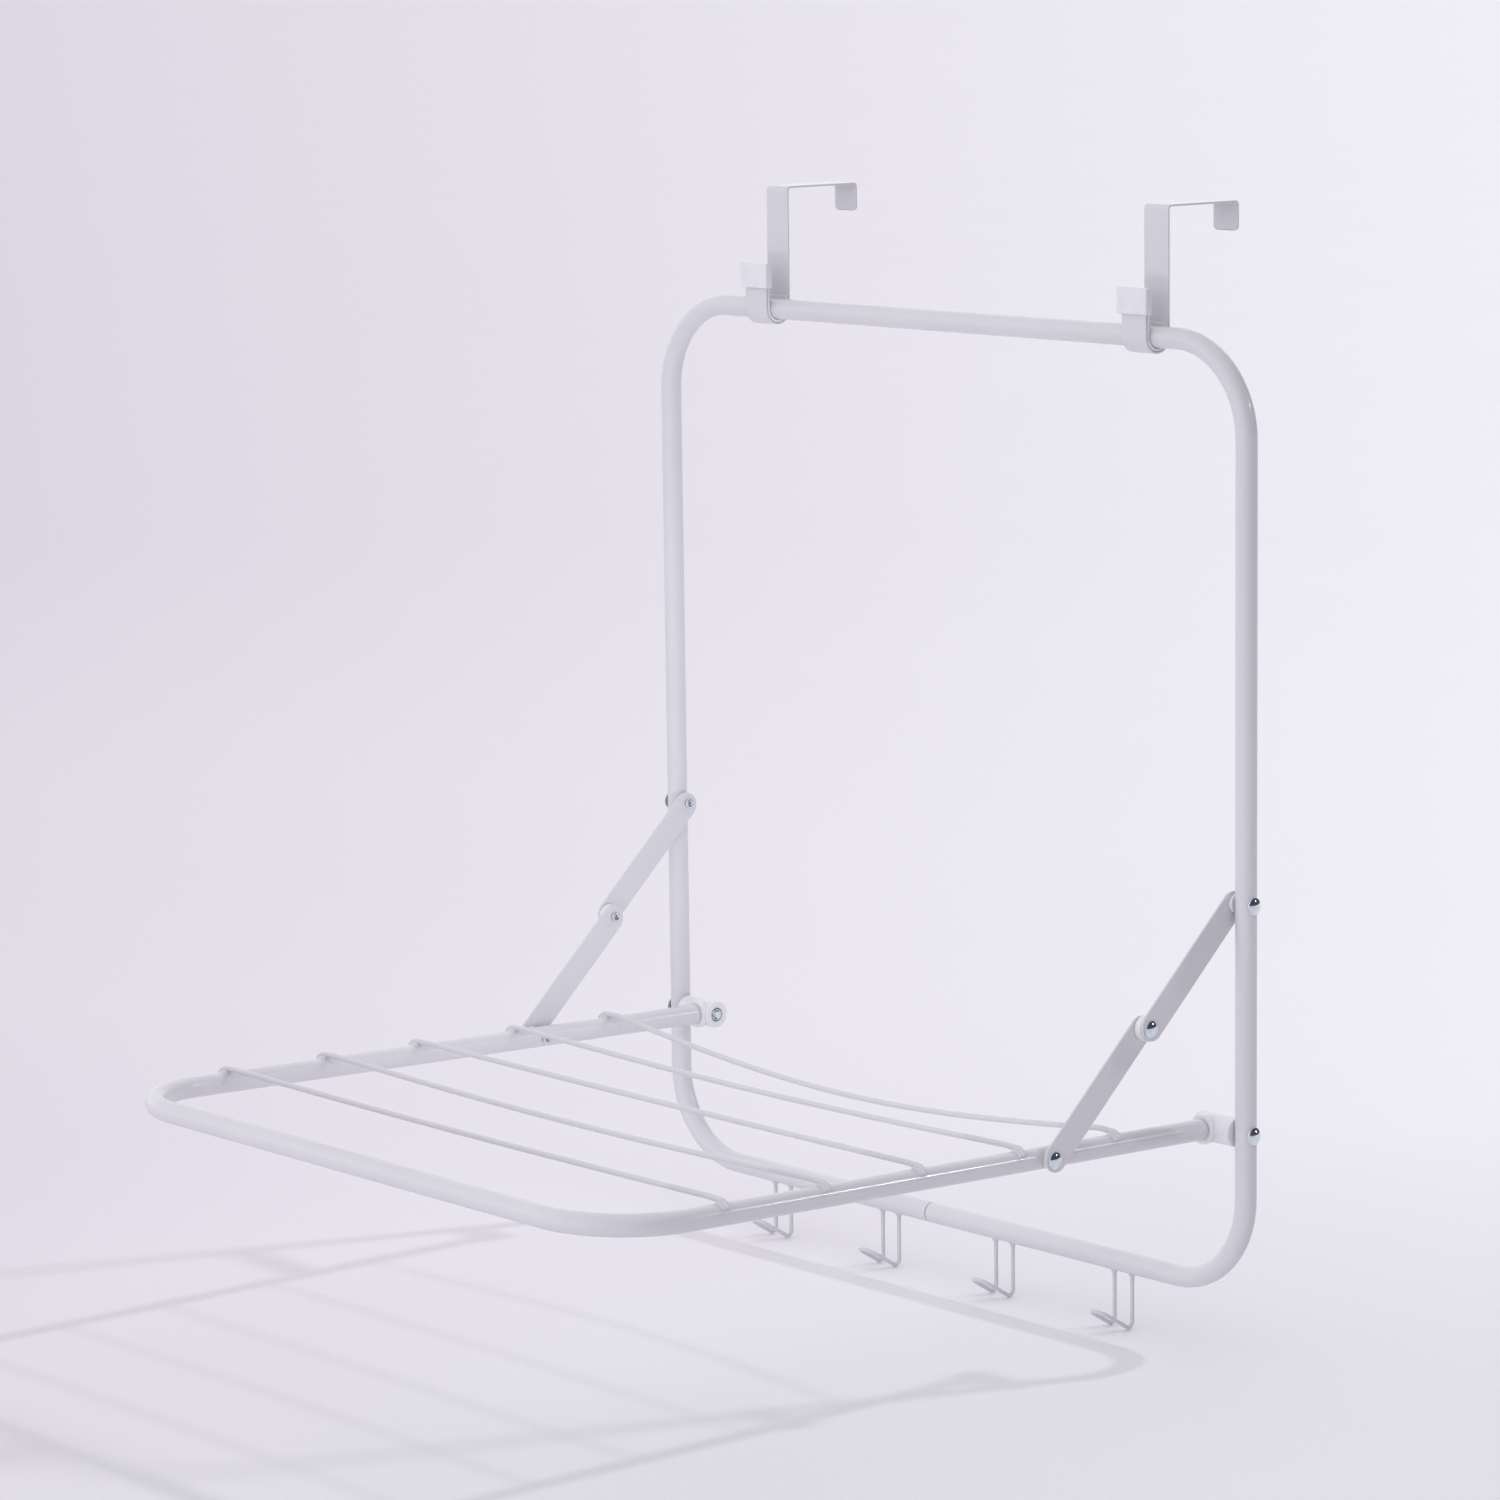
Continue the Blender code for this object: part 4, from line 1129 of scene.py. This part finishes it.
world = bpy.data.worlds.new("studio_world")
bpy.context.scene.world = world
world.use_nodes = True
tree = world.node_tree
back_node = tree.nodes["Background"]
coords = tree.nodes.new("ShaderNodeTexCoord")
dots = []
for direction in ((0.80, 0.55, -0.05), (0.0, 0.0, 1.0)):
    dot = tree.nodes.new("ShaderNodeVectorMath")
    dot.operation = "DOT_PRODUCT"
    dot.inputs[1].default_value = Vector(direction).normalized()
    tree.links.new(coords.outputs["Generated"], dot.inputs[0])
    dots.append(dot.outputs["Value"])
shade = tree.nodes.new("ShaderNodeValToRGB")
shade.color_ramp.interpolation = "EASE"
shade.color_ramp.elements[0].position = 0.54
shade.color_ramp.elements[0].color = (0.95, 0.94, 0.97, 1)
shade.color_ramp.elements[1].position = 0.86
shade.color_ramp.elements[1].color = (0.055, 0.055, 0.085, 1)
half = tree.nodes.new("ShaderNodeMath")
half.operation = "MULTIPLY_ADD"
half.inputs[1].default_value = 0.5
half.inputs[2].default_value = 0.5
tree.links.new(dots[0], half.inputs[0])
tree.links.new(half.outputs[0], shade.inputs["Fac"])
overhead = tree.nodes.new("ShaderNodeMapRange")
overhead.inputs["From Min"].default_value = 0.0
overhead.inputs["From Max"].default_value = 1.0
overhead.inputs["To Min"].default_value = 1.25
overhead.inputs["To Max"].default_value = 1.02
tree.links.new(dots[1], overhead.inputs["Value"])
tree.links.new(shade.outputs["Color"], back_node.inputs["Color"])
tree.links.new(overhead.outputs["Result"], back_node.inputs["Strength"])


def lamp(name, kind, energy, colour, toward=None, where=None, aim=None, **extra):
    data = bpy.data.lights.new(name, kind)
    data.energy = energy
    data.color = colour
    for key, value in extra.items():
        setattr(data, key, value)
    obj = bpy.data.objects.new(name, data)
    bpy.context.scene.collection.objects.link(obj)
    if toward is not None:
        obj.rotation_mode = "QUATERNION"
        obj.rotation_quaternion = Vector(toward).to_track_quat("Z", "Y")
    if where is not None:
        obj.location = where
        obj.rotation_mode = "QUATERNION"
        obj.rotation_quaternion = (Vector(where) - Vector(aim)).to_track_quat("Z", "Y")
    return obj


key = lamp("key_sun", "SUN", 0.64, (1.0, 0.985, 1.0), toward=(0.267, 0.694, 0.668), angle=math.radians(3.2))
key.visible_glossy = False
glint = lamp("glint_sun", "SUN", 0.26, (1.0, 1.0, 1.0), toward=(0.62, 0.66, 0.38), angle=math.radians(2.4))
glint.visible_diffuse = False
soft = lamp(
    "soft_side", "AREA", 0.62, (0.98, 0.98, 1.0), where=(0.22, -0.22, -0.42), aim=(-1.0, -0.22, -0.50),
    shape="SQUARE", size=0.62, spread=math.radians(95),
)
side_fill = lamp(
    "soft_right", "AREA", 0.31, (0.98, 0.98, 1.0), where=(0.95, -0.33, -0.66), aim=(-1.0, -0.33, -0.56),
    shape="SQUARE", size=0.5, spread=math.radians(110),
)
side_fill.visible_camera = False
side_fill.visible_glossy = False
low_fill = lamp(
    "soft_front", "AREA", 6.0, (0.98, 0.98, 1.0), where=(0.25, -2.35, -0.72), aim=(0.0, -0.2, -0.45),
    shape="RECTANGLE", size=1.8, size_y=0.20,
)
low_fill.visible_camera = False
low_fill.visible_glossy = False
soft.visible_camera = False
soft.visible_glossy = False

bpy.context.scene.view_settings.view_transform = "Standard"
bpy.context.scene.view_settings.look = "None"

# ---------------------------------------------------------------- camera
azimuth, elevation, roll = math.radians(49.515), math.radians(8.952), math.radians(-0.755)
back = Vector((math.sin(azimuth) * math.cos(elevation), -math.cos(azimuth) * math.cos(elevation), math.sin(elevation)))
right = Vector((math.cos(azimuth), math.sin(azimuth), 0.0))
up = right.cross(-back)
right_2 = math.cos(roll) * right + math.sin(roll) * up
up_2 = -math.sin(roll) * right + math.cos(roll) * up
matrix = Matrix((right_2, up_2, back)).transposed().to_4x4()
matrix.translation = (3.01881, -2.78524, 0.22519)
data = bpy.data.cameras.new("camera")
data.lens = 5415.1 / 1500 * 36
data.sensor_width = 36
data.clip_start, data.clip_end = 0.1, 200
camera = bpy.data.objects.new("camera", data)
camera.matrix_world = matrix
bpy.context.scene.collection.objects.link(camera)
bpy.context.scene.camera = camera
